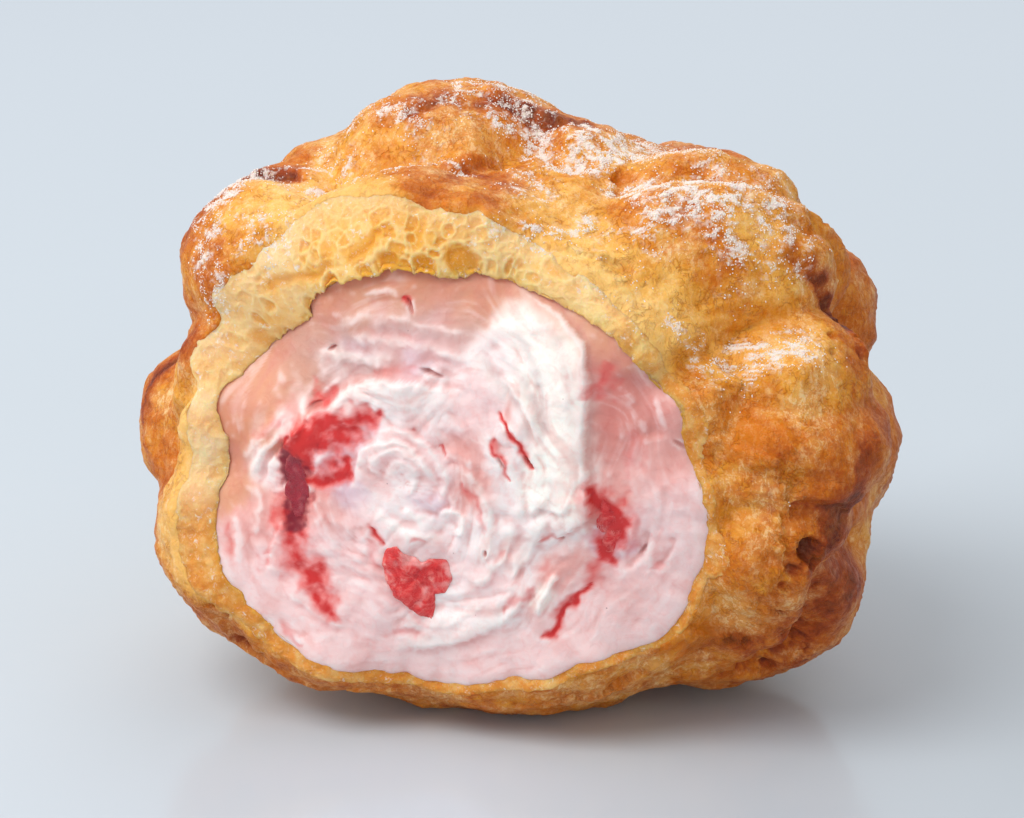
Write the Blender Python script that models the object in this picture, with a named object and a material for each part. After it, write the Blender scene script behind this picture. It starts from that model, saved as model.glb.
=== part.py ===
"""A choux bun torn open at the front, full of whipped strawberry cream with pieces of the fruit.

Blender 4.5, metres, +Z up. The bun stands on its flat foot at z = 0 and its torn side faces -Y. Every shape
is measured from the heart, a point in the middle of the bun, and every torn edge from the tear's own axis,
which points a little to the left of -Y.
"""

import math

import bmesh
import bpy
import numpy as np
from mathutils import Matrix, Vector, noise

MM = 0.001

# The bun as a whole
HEART = np.array([-0.3, -6.5, 33.5]) * MM
PLAIN_MIDDLE = np.array([0.0, 2.5, -2.6]) * MM  # of the dough under its bulges, from the heart
PLAIN_HALVES = np.array([39.0, 39.0, 34.0]) * MM
BLEND = 0.9 * MM  # how softly one bulge runs into the next
WAVINESS = 0.07  # how far the dough wandered while it rose, as a share of its size
WRINKLE_DEPTH = 0.75 * MM
WRINKLE_LENGTH = 7.0 * MM
WALL = 5.0 * MM
GAP = 0.35 * MM  # between any two pieces that touch
SLACK = 0.8 * MM  # more room between crust and cream, out of sight

# Bulges of the crust: the middle (right, back, up) from the heart, then the half sizes, in millimetres
BULGES = {
    "cap": ((-7.5, 3.5, 23.6), (15.5, 14.0, 13.0)),
    "cap_shoulder": ((5.5, 0.5, 25.0), (8.5, 8.5, 8.0)),
    "right_dome": ((19.5, -7.5, 18.8), (17.0, 14.0, 12.4)),
    "right_dome_back": ((19.5, 14.5, 13.5), (12.6, 13.0, 12.3)),
    "right_top_limb": ((32.0, 3.0, 9.5), (9.5, 11.0, 10.0)),
    "right_step": ((30.0, -18.5, 9.0), (8.5, 8.5, 8.0)),
    "right_cheek": ((29.5, -19.0, 0.5), (11.5, 11.5, 9.5)),
    "right_chin": ((27.5, -20.0, -10.5), (9.5, 11.0, 10.0)),
    "right_rim": ((34.4, 1.0, -6.5), (10.4, 13.0, 11.5)),
    "right_skirt": ((23.5, -8.0, -16.4), (17.0, 18.0, 15.5)),
    "front_skirt": ((0.0, -11.4, -18.9), (24.0, 14.6, 14.2)),
    "left_skirt": ((-18.5, -12.0, -16.5), (15.0, 15.0, 14.5)),
    "left_flank": ((-28.5, -7.0, -12.0), (14.0, 15.0, 14.5)),
    "left_ear": ((-36.1, 2.0, -3.0), (8.5, 10.0, 9.2)),
    "left_cheek": ((-30.0, -9.0, 3.0), (9.5, 11.0, 11.0)),
    "left_dome": ((-27.6, -2.8, 16.5), (10.7, 12.0, 11.0)),
    "left_shoulder": ((-20.5, 5.0, 20.0), (9.5, 10.0, 9.5)),
    "brow": ((-10.0, -13.5, 20.0), (17.0, 11.0, 10.0)),
}

# The bulges of the far side follow a spiral, clear of those above
BACK_BULGES = 40
BACK_REACH = 1.08  # of the plain dough
BACK_HALF_SIZE = 12.5 * MM

# Creases between bulges: (azimuth, elevation) in degrees from the heart, azimuth 0 at -Y, then the width and
# the depth in millimetres
CREASES = {
    "cap_tear": ([(-14, 77), (32, 83), (40, 72)], 1.8, 1.8),
    "back_groove": ([(44, 59), (60, 52), (69, 42), (81, 34)], 2.2, 2.0),
    "right_crack": ([(70, 35), (73, 30), (74, 24), (68, 18), (67, 13)], 1.8, 1.8),
    "step": ([(30, 19), (40, 22), (54, 22)], 2.2, 1.8),
    "cheek_fold": ([(29, 8), (35, 3), (45, 0)], 2.2, 2.0),
    "skirt_fold": ([(72, -18), (60, -14), (51, -15), (55, -23), (57, -30), (54, -38)], 2.2, 2.4),
    "left_fold": ([(-65, 17), (-67, 12), (-72, 5), (-76, -3), (-76, -9)], 1.8, 2.2),
    "dome_notch": ([(-86, 44), (-68, 48)], 1.8, 1.8),
}

# The tear's axis, and what its edge does at every 20 degrees of the clock from the right, upwards: how wide
# it opens, in degrees from the axis, then in millimetres the width of the torn crumb round it, how deep under
# the crust the crumb ends, and how far the cream is sunk into the mouth
TEAR_AZIMUTH, TEAR_ELEVATION = math.radians(-14), math.radians(-1)
TEAR_OPENING = [48, 47, 43.5, 43.5, 44.5, 43, 44, 50, 54, 49.5, 49, 48, 46, 47.5, 44.5, 45, 52, 51]
CRUMB_WIDTH = [1.8, 2, 3, 4, 5.8, 7.5, 11, 6, 3.4, 2.8, 2.8, 2.2, 2, 2, 1.8, 1.8, 1.8, 1.8]
CRUMB_DEPTH = [1.4, 1.4, 1.6, 2.2, 3, 3.4, 3.8, 4, 3.6, 2.8, 2, 1.6, 1.4, 1.4, 1.4, 1.4, 1.4, 1.4]
CREAM_SUNK = [0.8, 1, 1.6, 2.6, 3.4, 3.6, 4, 4.2, 3.6, 2.2, 1, 0.3, 0, 0, 0, 0, 0.2, 0.5]
RAGGEDNESS = 0.5  # of the torn edge, in degrees

# The cream's torn face, in millimetres right of and above the tear's axis
CREAM_FRONT = 26.5 * MM  # of the heart, in the middle
SWIRL_MIDDLE = (-4.0, -1.0)
SWIRL_PITCH = 5.2  # between one ridge and the next
SWIRL_HEIGHT = 0.6 * MM
TONGUE_PATH = [(8, 20), (11, 15), (13, 9), (12.5, 3), (11.5, -3), (11, -9)]
TONGUE_WIDTH = 3.4
TONGUE_HEIGHT = 1.3 * MM

# Strawberry pieces in the cream: the middle, the half sizes, the turn in degrees and the seed of their form
STRAWBERRIES = {
    "strawberry_heart_piece": ((-4.4, -11.9), (4.6, 3.2), -38, 3),
    "strawberry_left_piece": ((-17.4, -0.8), (2.3, 5.2), 8, 11),
    "strawberry_right_piece": ((15.6, -4.6), (1.9, 5.4), -10, 23),
}
STRAWBERRY_THICKNESS = 3.2 * MM
STRAWBERRY_SUNK = 0.4 * MM  # its middle under the cream's face

# Rings and segments of the meshes
SHELL_SEGMENTS, OUTER_RINGS, CRUMB_RINGS, HOLLOW_RINGS = 80, 38, 3, 10
CREAM_SEGMENTS, FACE_RINGS, BACK_RINGS = 80, 16, 8

OUTWARD = np.array([
    math.sin(TEAR_AZIMUTH) * math.cos(TEAR_ELEVATION),
    -math.cos(TEAR_AZIMUTH) * math.cos(TEAR_ELEVATION),
    math.sin(TEAR_ELEVATION),
])
RIGHTWARD = np.array([math.cos(TEAR_AZIMUTH), math.sin(TEAR_AZIMUTH), 0.0])
UPWARD = np.cross(OUTWARD, RIGHTWARD)


def unit(rows):
    return rows / np.linalg.norm(rows, axis=1)[:, None]


def way(azimuth, elevation):
    """The unit vector that points at an azimuth and an elevation in degrees."""
    a, e = math.radians(azimuth), math.radians(elevation)
    return np.array([math.sin(a) * math.cos(e), -math.cos(a) * math.cos(e), math.sin(e)])


def wander(points, length, seed=0):
    """Smooth noise vectors with features of about this length."""
    shifts = [Vector((seed + 9.3 * axis, -seed, 2 * seed)) for axis in range(3)]
    return np.array([[noise.noise(Vector(p / length) + shift) for shift in shifts] for p in points])


def rumple(points, length, seed=0):
    """Smooth noise heights, about -1 to 1, with finer wrinkles on broader ones."""
    shift = Vector((seed, 2 * seed, -seed))
    return np.array([noise.fractal(Vector(p / length) + shift, 1.0, 2.0, 3) for p in points])


def by_the_clock(table, clock):
    """Reads a table with values at even steps round the tear, smoothly between them."""
    count = len(table)
    place = np.mod(clock / (2 * math.pi), 1) * count
    low = np.floor(place).astype(int)
    share = place - low
    share = share * share * (3 - 2 * share)
    values = np.array(table, float)
    return values[low % count] * (1 - share) + values[(low + 1) % count] * share


def ellipsoid_reach(ways, middle, halves):
    """How far from the heart each way leaves an ellipsoid, and 0 where it misses."""
    d, m = ways / halves, middle / halves
    a, b, c = (d * d).sum(axis=1), d @ m, m @ m - 1
    inside = b * b - a * c
    return np.where(inside > 0, (b + np.sqrt(np.maximum(inside, 0))) / a, 0)


def back_bulges():
    """Bulges for the far side: a golden-angle spiral, less its ways near a named bulge or the front."""
    taken = [np.array(middle) / np.linalg.norm(middle) for middle, _ in BULGES.values()]
    found = []
    for k in range(BACK_BULGES):
        up = 1 - 2 * (k + 0.5) / BACK_BULGES
        turn = k * math.pi * (3 - math.sqrt(5))
        flat = math.sqrt(1 - up * up)
        toward = np.array([flat * math.cos(turn), flat * math.sin(turn), up])
        near = max(toward @ other for other in taken)
        if near > math.cos(math.radians(20)) or toward[1] - 0.3 * up < 0.25 or up < -0.75:
            continue
        swell = noise.noise(Vector(toward * 5))
        half = BACK_HALF_SIZE * (1 + 0.5 * swell)
        reach = ellipsoid_reach(toward[None], PLAIN_MIDDLE, PLAIN_HALVES)[0] * (BACK_REACH + 0.07 * swell)
        found.append((toward * (reach - half), np.array([half, half, half * 0.9])))
    return found


def all_bulges():
    named = [(np.array(middle) * MM, np.array(halves) * MM) for middle, halves in BULGES.values()]
    return [(PLAIN_MIDDLE, PLAIN_HALVES), *named, *back_bulges()]


def path_distance(points, path):
    """Distance from each point to a path of straight runs."""
    nearest = np.full(len(points), np.inf)
    for start, end in zip(path[:-1], path[1:]):
        run = end - start
        share = np.clip((points - start) @ run / (run @ run), 0, 1)
        nearest = np.minimum(nearest, np.linalg.norm(points - start - share[:, None] * run, axis=1))
    return nearest


def crease_depth(ways, reach):
    """How deep the creases cut at each way."""
    depth = np.zeros(len(ways))
    for corners, width, most in CREASES.values():
        path = [way(*corner) for corner in corners]
        away = path_distance(ways, path) * reach / (width * MM)
        depth = np.maximum(depth, most * MM * np.exp(-away * away))
    return depth


def crust_reach(ways):
    """How far the crust lies from the heart along each way. The foot cuts it off flat."""
    bent = unit(ways + WAVINESS * wander(ways, 0.45))
    reaches = np.array([ellipsoid_reach(bent, middle, halves) for middle, halves in all_bulges()])
    reach = BLEND * np.log(np.exp(reaches / BLEND).sum(axis=0))
    reach += WRINKLE_DEPTH * rumple(ways * reach[:, None], WRINKLE_LENGTH)
    reach -= crease_depth(ways, reach)
    return np.minimum(reach, HEART[2] / np.maximum(-ways[:, 2], 1e-6))


def hollow_reach(ways):
    """How far the bun's hollow lies from the heart, away from the tear."""
    reach = ellipsoid_reach(ways, PLAIN_MIDDLE, PLAIN_HALVES - WALL)
    return np.minimum(reach, (HEART[2] - 1.1 * WALL) / np.maximum(-ways[:, 2], 1e-6))


def in_tear_axes(clock, radius, front):
    """The point at a place on the clock, a distance from the tear's axis and one in front of the heart."""
    return (
        (radius * np.cos(clock))[:, None] * RIGHTWARD
        + (radius * np.sin(clock))[:, None] * UPWARD
        + np.broadcast_to(front, clock.shape)[:, None] * OUTWARD
    )


def way_from_tear(clock, opening):
    """The unit vector at a place on the clock and an angle from the tear's axis."""
    return in_tear_axes(clock, np.sin(opening), np.cos(opening))


def tear_opening(clock):
    """The angle at which the tear opens, uneven as torn pastry is."""
    around = np.stack([np.cos(clock), np.sin(clock), np.zeros(len(clock))], axis=1)
    return np.radians(by_the_clock(TEAR_OPENING, clock) + RAGGEDNESS * rumple(around, 0.3, seed=5))


def tear_point(clock):
    """The torn edge of the crumb, where the cream meets it."""
    ways = way_from_tear(clock, tear_opening(clock))
    return ways * (crust_reach(ways) - by_the_clock(CRUMB_DEPTH, clock) * MM)[:, None]


def crust_edge(clock):
    """The crust's edge round the torn crumb."""
    ways = way_from_tear(clock, tear_opening(clock) + by_the_clock(CRUMB_WIDTH, clock) / 38)
    return ways * crust_reach(ways)[:, None]


def opening_angle(points):
    return np.arccos(np.clip(unit(points) @ OUTWARD, -1, 1))


def hollow_point(clock, share, inset=0.0, slack=0.0):
    """The hollow's wall, share 0 at the tear and 1 at the far end. Slack comes off it beyond the mouth."""
    edge = tear_point(clock)
    start = opening_angle(edge)
    ways = way_from_tear(clock, start + (math.pi - start) * share)
    mouth = np.linalg.norm(edge, axis=1)
    ease = np.clip(share / 0.3, 0, 1)
    ease = ease * ease * (3 - 2 * ease)
    return ways * (mouth * (1 - ease) + (hollow_reach(ways) - slack) * ease - inset)[:, None]


def shell_point(clock, share):
    """A sphere's surface folded into a cup: from share 0 behind the bun come crust, torn crumb and hollow."""
    rings = OUTER_RINGS + CRUMB_RINGS + HOLLOW_RINGS
    crust_end, crumb_end = OUTER_RINGS / rings, (OUTER_RINGS + CRUMB_RINGS) / rings
    points = np.empty((len(clock), 3))
    crust, hollow = share <= crust_end + 1e-6, share > crumb_end + 1e-6
    crumb = ~crust & ~hollow

    end = opening_angle(crust_edge(clock[crust]))
    ways = way_from_tear(clock[crust], math.pi - (math.pi - end) * share[crust] / crust_end)
    points[crust] = ways * crust_reach(ways)[:, None]

    across = ((share[crumb] - crust_end) / (crumb_end - crust_end))[:, None]
    torn = crust_edge(clock[crumb]) * (1 - across) + tear_point(clock[crumb]) * across
    points[crumb] = torn + 0.3 * MM * wander(torn, 3 * MM, seed=9) * (1 - across)

    points[hollow] = hollow_point(clock[hollow], ((share[hollow] - crumb_end) / (1 - crumb_end)) ** 1.4)
    return points


def cream_relief(right, up):
    """Height of the whipped cream's strokes over its plain face: a swirl round its middle, and a tongue."""
    x, y = right / MM - SWIRL_MIDDLE[0], up / MM - SWIRL_MIDDLE[1]
    around, out = np.arctan2(y, x), np.hypot(x, y)
    here = np.stack([right, up, np.zeros(len(right))], axis=1)
    phase = out / SWIRL_PITCH - around / (2 * math.pi) + 0.35 * rumple(here, 11 * MM, seed=2)
    fade = np.clip(1.25 - out / 24, 0.1, 1) * np.clip(out / 4, 0, 1)
    swirl = SWIRL_HEIGHT * np.cos(2 * math.pi * phase) * fade
    path = [np.array([*corner, 0.0]) * MM for corner in TONGUE_PATH]
    away = path_distance(here, path) / (TONGUE_WIDTH * MM)
    return swirl + TONGUE_HEIGHT * np.exp(-away * away) + 0.5 * MM * rumple(here, 6 * MM, seed=4)


def cream_edge(clock):
    """Where the cream's face meets the bun: sunk into the mouth above, level with it below."""
    sunk = by_the_clock(CREAM_SUNK, clock) / 90
    edge = hollow_point(clock, sunk, inset=GAP, slack=SLACK)
    radius = np.hypot(edge @ RIGHTWARD, edge @ UPWARD)
    return in_tear_axes(clock, radius - GAP, edge @ OUTWARD), sunk


def face_front(right, up, clock, share):
    """How far in front of the heart the cream's face lies, with share 0 in its middle and 1 at its edge."""
    edge, _ = cream_edge(clock)
    plain = CREAM_FRONT + (edge @ OUTWARD - CREAM_FRONT) * share**2
    return plain + cream_relief(right, up) * (1 - share**6)


def cream_point(clock, share):
    """A sphere's surface as the cream: share 0 is the middle of its face, then come its edge and its back."""
    rings = FACE_RINGS + BACK_RINGS
    face_end = FACE_RINGS / rings
    points = np.empty((len(clock), 3))
    face = share <= face_end + 1e-6

    edge, _ = cream_edge(clock[face])
    out = share[face] / face_end
    radius = np.hypot(edge @ RIGHTWARD, edge @ UPWARD) * out
    right, up = radius * np.cos(clock[face]), radius * np.sin(clock[face])
    points[face] = in_tear_axes(clock[face], radius, face_front(right, up, clock[face], out))

    _, sunk = cream_edge(clock[~face])
    back = ((share[~face] - face_end) / (1 - face_end)) ** 1.4
    points[~face] = hollow_point(clock[~face], sunk + (1 - sunk) * back, inset=GAP, slack=SLACK)
    return points


def sphere_on_tear_axis(name, segments, rings, place, collection, from_front):
    """A UV sphere whose every vertex is moved by place(clock, share), with its poles on the tear's axis."""
    form = bmesh.new()
    bmesh.ops.create_uvsphere(form, u_segments=segments, v_segments=rings, radius=1)
    form.verts.ensure_lookup_table()
    points = np.array([v.co for v in form.verts], float)
    clock = np.arctan2(points[:, 1], points[:, 0])
    share = np.arccos(np.clip(points[:, 2], -1, 1)) / math.pi
    if not from_front:
        share = 1 - share
    for vertex, point in zip(form.verts, place(clock, share)):
        vertex.co = Vector(point)
    return finish_mesh(name, form, collection)


def finish_mesh(name, form, collection):
    bmesh.ops.triangulate(form, faces=form.faces)
    mesh = bpy.data.meshes.new(name)
    form.to_mesh(mesh)
    form.free()
    mesh.shade_smooth()
    piece = bpy.data.objects.new(name, mesh)
    collection.objects.link(piece)
    return piece


def empty(name, parent, collection):
    made = bpy.data.objects.new(name, None)
    made.empty_display_size = 10 * MM
    made.parent = parent
    collection.objects.link(made)
    return made


def strawberry(name, halves, seed, swell, collection):
    """A ragged flattened lump of fruit, swollen all round by a clearance."""
    form = bmesh.new()
    bmesh.ops.create_icosphere(form, subdivisions=3, radius=1)
    for vertex in form.verts:
        ragged = 1 + 0.28 * noise.fractal(vertex.co * 1.5 + Vector((seed, seed, seed)), 1.0, 2.0, 3)
        vertex.co.x *= halves[0] * MM * ragged + swell
        vertex.co.y *= halves[1] * MM * ragged + swell
        vertex.co.z *= STRAWBERRY_THICKNESS / 2 * ragged + swell
    return finish_mesh(name, form, collection)


def lay_in_face(piece, tear, middle, turn):
    """Lays a piece half sunk in the cream's face."""
    right, up = np.array(middle) * MM
    clock = np.array([math.atan2(up, right)])
    edge, _ = cream_edge(clock)
    share = np.array([math.hypot(right, up)]) / np.hypot(edge @ RIGHTWARD, edge @ UPWARD)
    front = face_front(np.array([right]), np.array([up]), clock, share)[0]
    piece.parent = tear
    piece.location = (right, up, front - STRAWBERRY_SUNK)
    piece.rotation_euler = (0, 0, math.radians(turn))


def material(name, colour, roughness, subsurface=0.0):
    made = bpy.data.materials.new(name)
    made.use_nodes = True
    shader = made.node_tree.nodes["Principled BSDF"]
    shader.inputs["Base Color"].default_value = (*colour, 1)
    shader.inputs["Roughness"].default_value = roughness
    shader.inputs["Subsurface Weight"].default_value = subsurface
    shader.inputs["Subsurface Scale"].default_value = 3 * MM
    made.diffuse_color = (*colour, 1)
    return made


def cut_pocket(cream, cutter):
    """Cuts a strawberry piece's pocket into the cream."""
    pocket = cream.modifiers.new(cutter.name, "BOOLEAN")
    pocket.operation = "DIFFERENCE"
    pocket.solver = "EXACT"
    pocket.object = cutter
    cutter.hide_render = True
    cutter.display_type = "WIRE"


def main():
    for old in list(bpy.data.objects):
        bpy.data.objects.remove(old)
    bun = bpy.data.collections.new("choux_bun")
    cutters = bpy.data.collections.new("cutters")
    bpy.context.scene.collection.children.link(bun)
    bpy.context.scene.collection.children.link(cutters)

    crust = material("baked_choux", (0.62, 0.29, 0.08), 0.6, 0.1)
    whipped = material("whipped_cream", (0.86, 0.62, 0.6), 0.45, 0.3)
    fruit = material("strawberry_flesh", (0.62, 0.04, 0.04), 0.25, 0.2)

    heart = empty("heart", None, bun)
    heart.location = HEART
    tear = empty("tear", heart, bun)
    tear.rotation_euler = Matrix((RIGHTWARD, UPWARD, OUTWARD)).transposed().to_euler()

    rings = OUTER_RINGS + CRUMB_RINGS + HOLLOW_RINGS
    shell = sphere_on_tear_axis("choux_shell", SHELL_SEGMENTS, rings, shell_point, bun, from_front=False)
    shell.data.materials.append(crust)
    shell.parent = heart

    rings = FACE_RINGS + BACK_RINGS
    cream = sphere_on_tear_axis("cream_filling", CREAM_SEGMENTS, rings, cream_point, bun, from_front=True)
    cream.data.materials.append(whipped)
    cream.parent = heart

    for name, (middle, halves, turn, seed) in STRAWBERRIES.items():
        piece = strawberry(name, halves, seed, 0.0, bun)
        piece.data.materials.append(fruit)
        lay_in_face(piece, tear, middle, turn)
        pocket = strawberry(f"{name}_pocket", halves, seed, GAP, cutters)
        lay_in_face(pocket, tear, middle, turn)
        cut_pocket(cream, pocket)


main()
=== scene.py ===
"""A cream puff: a choux bun torn open at the front, full of strawberry cream, dusted with icing sugar."""

import math

import bpy
import numpy as np
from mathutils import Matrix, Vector, noise


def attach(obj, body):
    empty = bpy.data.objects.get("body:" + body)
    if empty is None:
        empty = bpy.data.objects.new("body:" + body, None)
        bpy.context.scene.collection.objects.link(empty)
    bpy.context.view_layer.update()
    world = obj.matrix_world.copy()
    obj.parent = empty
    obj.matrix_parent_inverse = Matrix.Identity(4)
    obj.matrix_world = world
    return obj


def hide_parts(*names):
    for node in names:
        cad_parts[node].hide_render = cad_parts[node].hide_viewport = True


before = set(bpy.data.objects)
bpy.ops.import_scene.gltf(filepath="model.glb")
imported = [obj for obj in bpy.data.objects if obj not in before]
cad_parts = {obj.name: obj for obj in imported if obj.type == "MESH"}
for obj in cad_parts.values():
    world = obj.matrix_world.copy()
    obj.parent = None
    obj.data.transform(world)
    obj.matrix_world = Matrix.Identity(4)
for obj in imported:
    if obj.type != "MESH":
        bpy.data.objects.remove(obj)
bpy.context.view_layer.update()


# ---- The baked crust ----
# Choux paste piped in a mound blows up on its own steam, one lump after another, and dries to a thin
# crinkled skin, browned most on the lumps, amber in the folds and ragged where the bun was torn open.
# It follows the solid bun's form, with its fine wrinkles, lips and pits added, and painted shade darkens the
# hollows among them.

MM = 0.001
HEART = np.array([-0.3, -6.5, 33.5]) * MM  # a point inside the bun, from which every way sets out
PLAIN_MIDDLE = np.array([0.0, 2.5, -2.6]) * MM  # the plain mound under the lumps, from the heart
PLAIN_HALVES = np.array([39.0, 39.0, 34.0]) * MM
BLEND = 0.9 * MM  # how softly one lump runs into the next
WAVINESS = 0.07  # how far their outlines stray, as a share of the reach
WRINKLE_DEPTH = 0.75 * MM
WRINKLE_LENGTH = 7.0 * MM
WALL = 5.0 * MM
GAP = 0.35 * MM  # that the lining and the cream each keep off the hollow's plain wall
SLACK = 0.8 * MM  # that the cream keeps off it as well, beyond the mouth
MEAN_REACH = 38 * MM  # from the heart to the crust, to turn a width on the skin into an angle
TEAR_AZIMUTH = math.radians(-14)
TEAR_ELEVATION = math.radians(-1)

# Lumps: the middle (right, back, up) from the heart, then the half sizes, in millimetres
BULGES = [
    ((-7.5, 3.5, 23.6), (15.5, 14.0, 13.0)),  # the cap
    ((5.5, 0.5, 25.0), (8.5, 8.5, 8.0)),
    ((19.5, -7.5, 18.8), (17.0, 14.0, 12.4)),  # the right dome
    ((19.5, 14.5, 13.5), (12.6, 13.0, 12.3)),
    ((32.0, 3.0, 9.5), (9.5, 11.0, 10.0)),
    ((30.0, -18.5, 9.0), (8.5, 8.5, 8.0)),  # the right step, cheek and chin
    ((29.5, -19.0, 0.5), (11.5, 11.5, 9.5)),
    ((27.5, -20.0, -10.5), (9.5, 11.0, 10.0)),
    ((34.4, 1.0, -6.5), (10.4, 13.0, 11.5)),
    ((23.5, -8.0, -16.4), (17.0, 18.0, 15.5)),  # the skirt, from the right to the left
    ((0.0, -11.4, -18.9), (24.0, 14.6, 14.2)),
    ((-18.5, -12.0, -16.5), (15.0, 15.0, 14.5)),
    ((-28.5, -7.0, -12.0), (14.0, 15.0, 14.5)),
    ((-36.1, 2.0, -3.0), (8.5, 10.0, 9.2)),  # the left ear and cheek
    ((-30.0, -9.0, 3.0), (9.5, 11.0, 11.0)),
    ((-27.6, -2.8, 16.5), (10.7, 12.0, 11.0)),  # the left dome
    ((-20.5, 5.0, 20.0), (9.5, 10.0, 9.5)),
    ((-10.0, -13.5, 20.0), (17.0, 11.0, 10.0)),  # the brow over the tear
]
BACK_BULGES = 40  # on the whole ball, before those near a named lump or the front are left out
BACK_REACH = 1.08  # how far out they come, as a share of the plain mound's reach
BACK_HALF_SIZE = 12.5 * MM

# Creases between lumps: (azimuth, elevation) corners in degrees, then width and depth in millimetres
CREASES = [
    ([(-14, 77), (32, 83), (40, 72)], 1.8, 1.8),
    ([(44, 59), (60, 52), (69, 42), (81, 34)], 2.2, 2.0),
    ([(70, 35), (73, 30), (74, 24), (68, 18), (67, 13)], 1.8, 1.8),
    ([(30, 19), (40, 22), (54, 22)], 2.2, 1.8),
    ([(29, 8), (35, 3), (45, 0)], 2.2, 2.0),
    ([(72, -18), (60, -14), (51, -15), (55, -23), (57, -30), (54, -38)], 2.2, 2.4),
    ([(-65, 17), (-67, 12), (-72, 5), (-76, -3), (-76, -9)], 1.8, 2.2),
    ([(-86, 44), (-68, 48)], 1.8, 1.8),
]

# Places round the tear are told by the clock, in degrees from the right and upwards, and by their opening,
# the angle from the tear's axis. Every 20 degrees of the clock: how wide the tear opens, and in millimetres
# the torn crumb's width and depth.
TEAR_OPENING = [48, 47, 43.5, 43.5, 44.5, 43, 44.8, 49.2, 54, 49.5, 49, 48, 46, 47.5, 44.5, 45, 52, 51]
CRUMB_WIDTH = [1.2, 2, 3, 4, 5.8, 7.5, 11, 6, 3.4, 2.4, 2.8, 1.8, 1.2, 1, 1, 1, 1, 1]
CRUMB_DEPTH = [1.4, 1.4, 1.6, 2.2, 3, 3.4, 3.8, 4, 3.6, 2.8, 2, 1.6, 1.4, 1.4, 1.4, 1.4, 1.4, 1.4]
RAGGEDNESS = 0.5  # of the tear, in degrees

# Lips, where one layer of skin ends over the next: (clock, opening) corners with the upper layer on their
# left, how proud it stands and how far that fades in millimetres, and how dark the groove under it is:
# browned and painted shade
LIPS = [
    ([(98, 90), (92, 90.5), (88, 91), (84, 91), (80, 92)], 1.0, 5.0, 0.5),  # the cap's flake
    ([(110, 80), (107, 83), (103, 86), (97, 86)], 0.5, 3.0, 0.3),
    ([(122, 78), (115, 80), (110, 81)], 0.5, 2.5, 0.2),
    ([(121, 76), (113, 77)], 0.4, 2.0, 0.15),
    ([(104, 71), (99, 70), (96, 72), (93, 76), (90, 80)], 0.9, 4.0, 0.25),  # the fold above the brow
    ([(138, 80), (134, 79), (128, 75)], 0.7, 3.0, 0.45),
    ([(58, 84), (52, 84), (46, 79), (41, 79), (36, 82), (32, 84)], 0.6, 4.0, 0.2),
    ([(37, 73), (34, 75.5), (31, 78), (27, 80), (24, 81), (20, 80), (16, 77.5), (12, 77)], 0.7, 3.0, 0.45),
    ([(18, 67), (20, 63), (20.5, 60), (20, 57), (21, 53), (21, 50)], 1.0, 4.0, 0.0),  # the step's lip
    ([(353, 59), (356, 58), (0, 57), (4, 57), (7, 54.5), (10, 51.5), (12, 48)], 0.8, 3.5, 0.1),  # the cheek's
    ([(357, 58), (357, 61), (356, 66), (352, 70)], 0.8, 3.0, 0.35),
    ([(328, 66), (326, 62), (325, 59), (325, 55), (325, 50)], 0.7, 3.0, 0.3),
    ([(164, 74), (170, 77), (178, 76), (184, 73), (188, 70)], 0.5, 2.5, 0.4),  # the ear's
]

# Pits of burst bubbles: (clock, opening), radius and depth in millimetres
PITS = [
    # the brow
    (121, 57.5, 1.2, 1.3), (117.5, 57.5, 1.0, 1.1), (114, 57, 0.8, 1.0),
    # along the bottom
    (328, 74, 0.7, 1.3), (324, 74, 0.8, 1.4), (321, 75, 0.6, 1.1), (319, 73, 0.6, 1.0), (316, 71, 0.5, 0.8),
    (212, 52, 0.6, 0.9), (215, 52, 0.5, 0.8), (206, 53, 0.5, 0.8), (221, 57, 0.6, 1.0),
    (223, 56.5, 0.6, 0.9), (226, 54, 0.5, 0.8), (325, 62, 0.7, 1.0), (326, 64, 0.6, 0.9),
    # the chin, cheek and step at the right
    (349, 61, 1.5, 2.6), (346, 62.5, 1.0, 1.6), (345, 59, 0.8, 1.3), (342, 59, 0.6, 1.2),
    (338, 66, 0.6, 1.1), (334, 70, 0.5, 0.9), (331, 73, 0.7, 1.2), (343, 64, 0.5, 0.9), (336, 62, 0.4, 0.8),
    (330, 68, 0.5, 0.8), (18, 71, 0.6, 0.7), (20, 73.5, 0.6, 0.7),
    # the right dome
    (65, 80, 1.6, 1.8), (64, 76, 0.6, 1.0),
]

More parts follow.
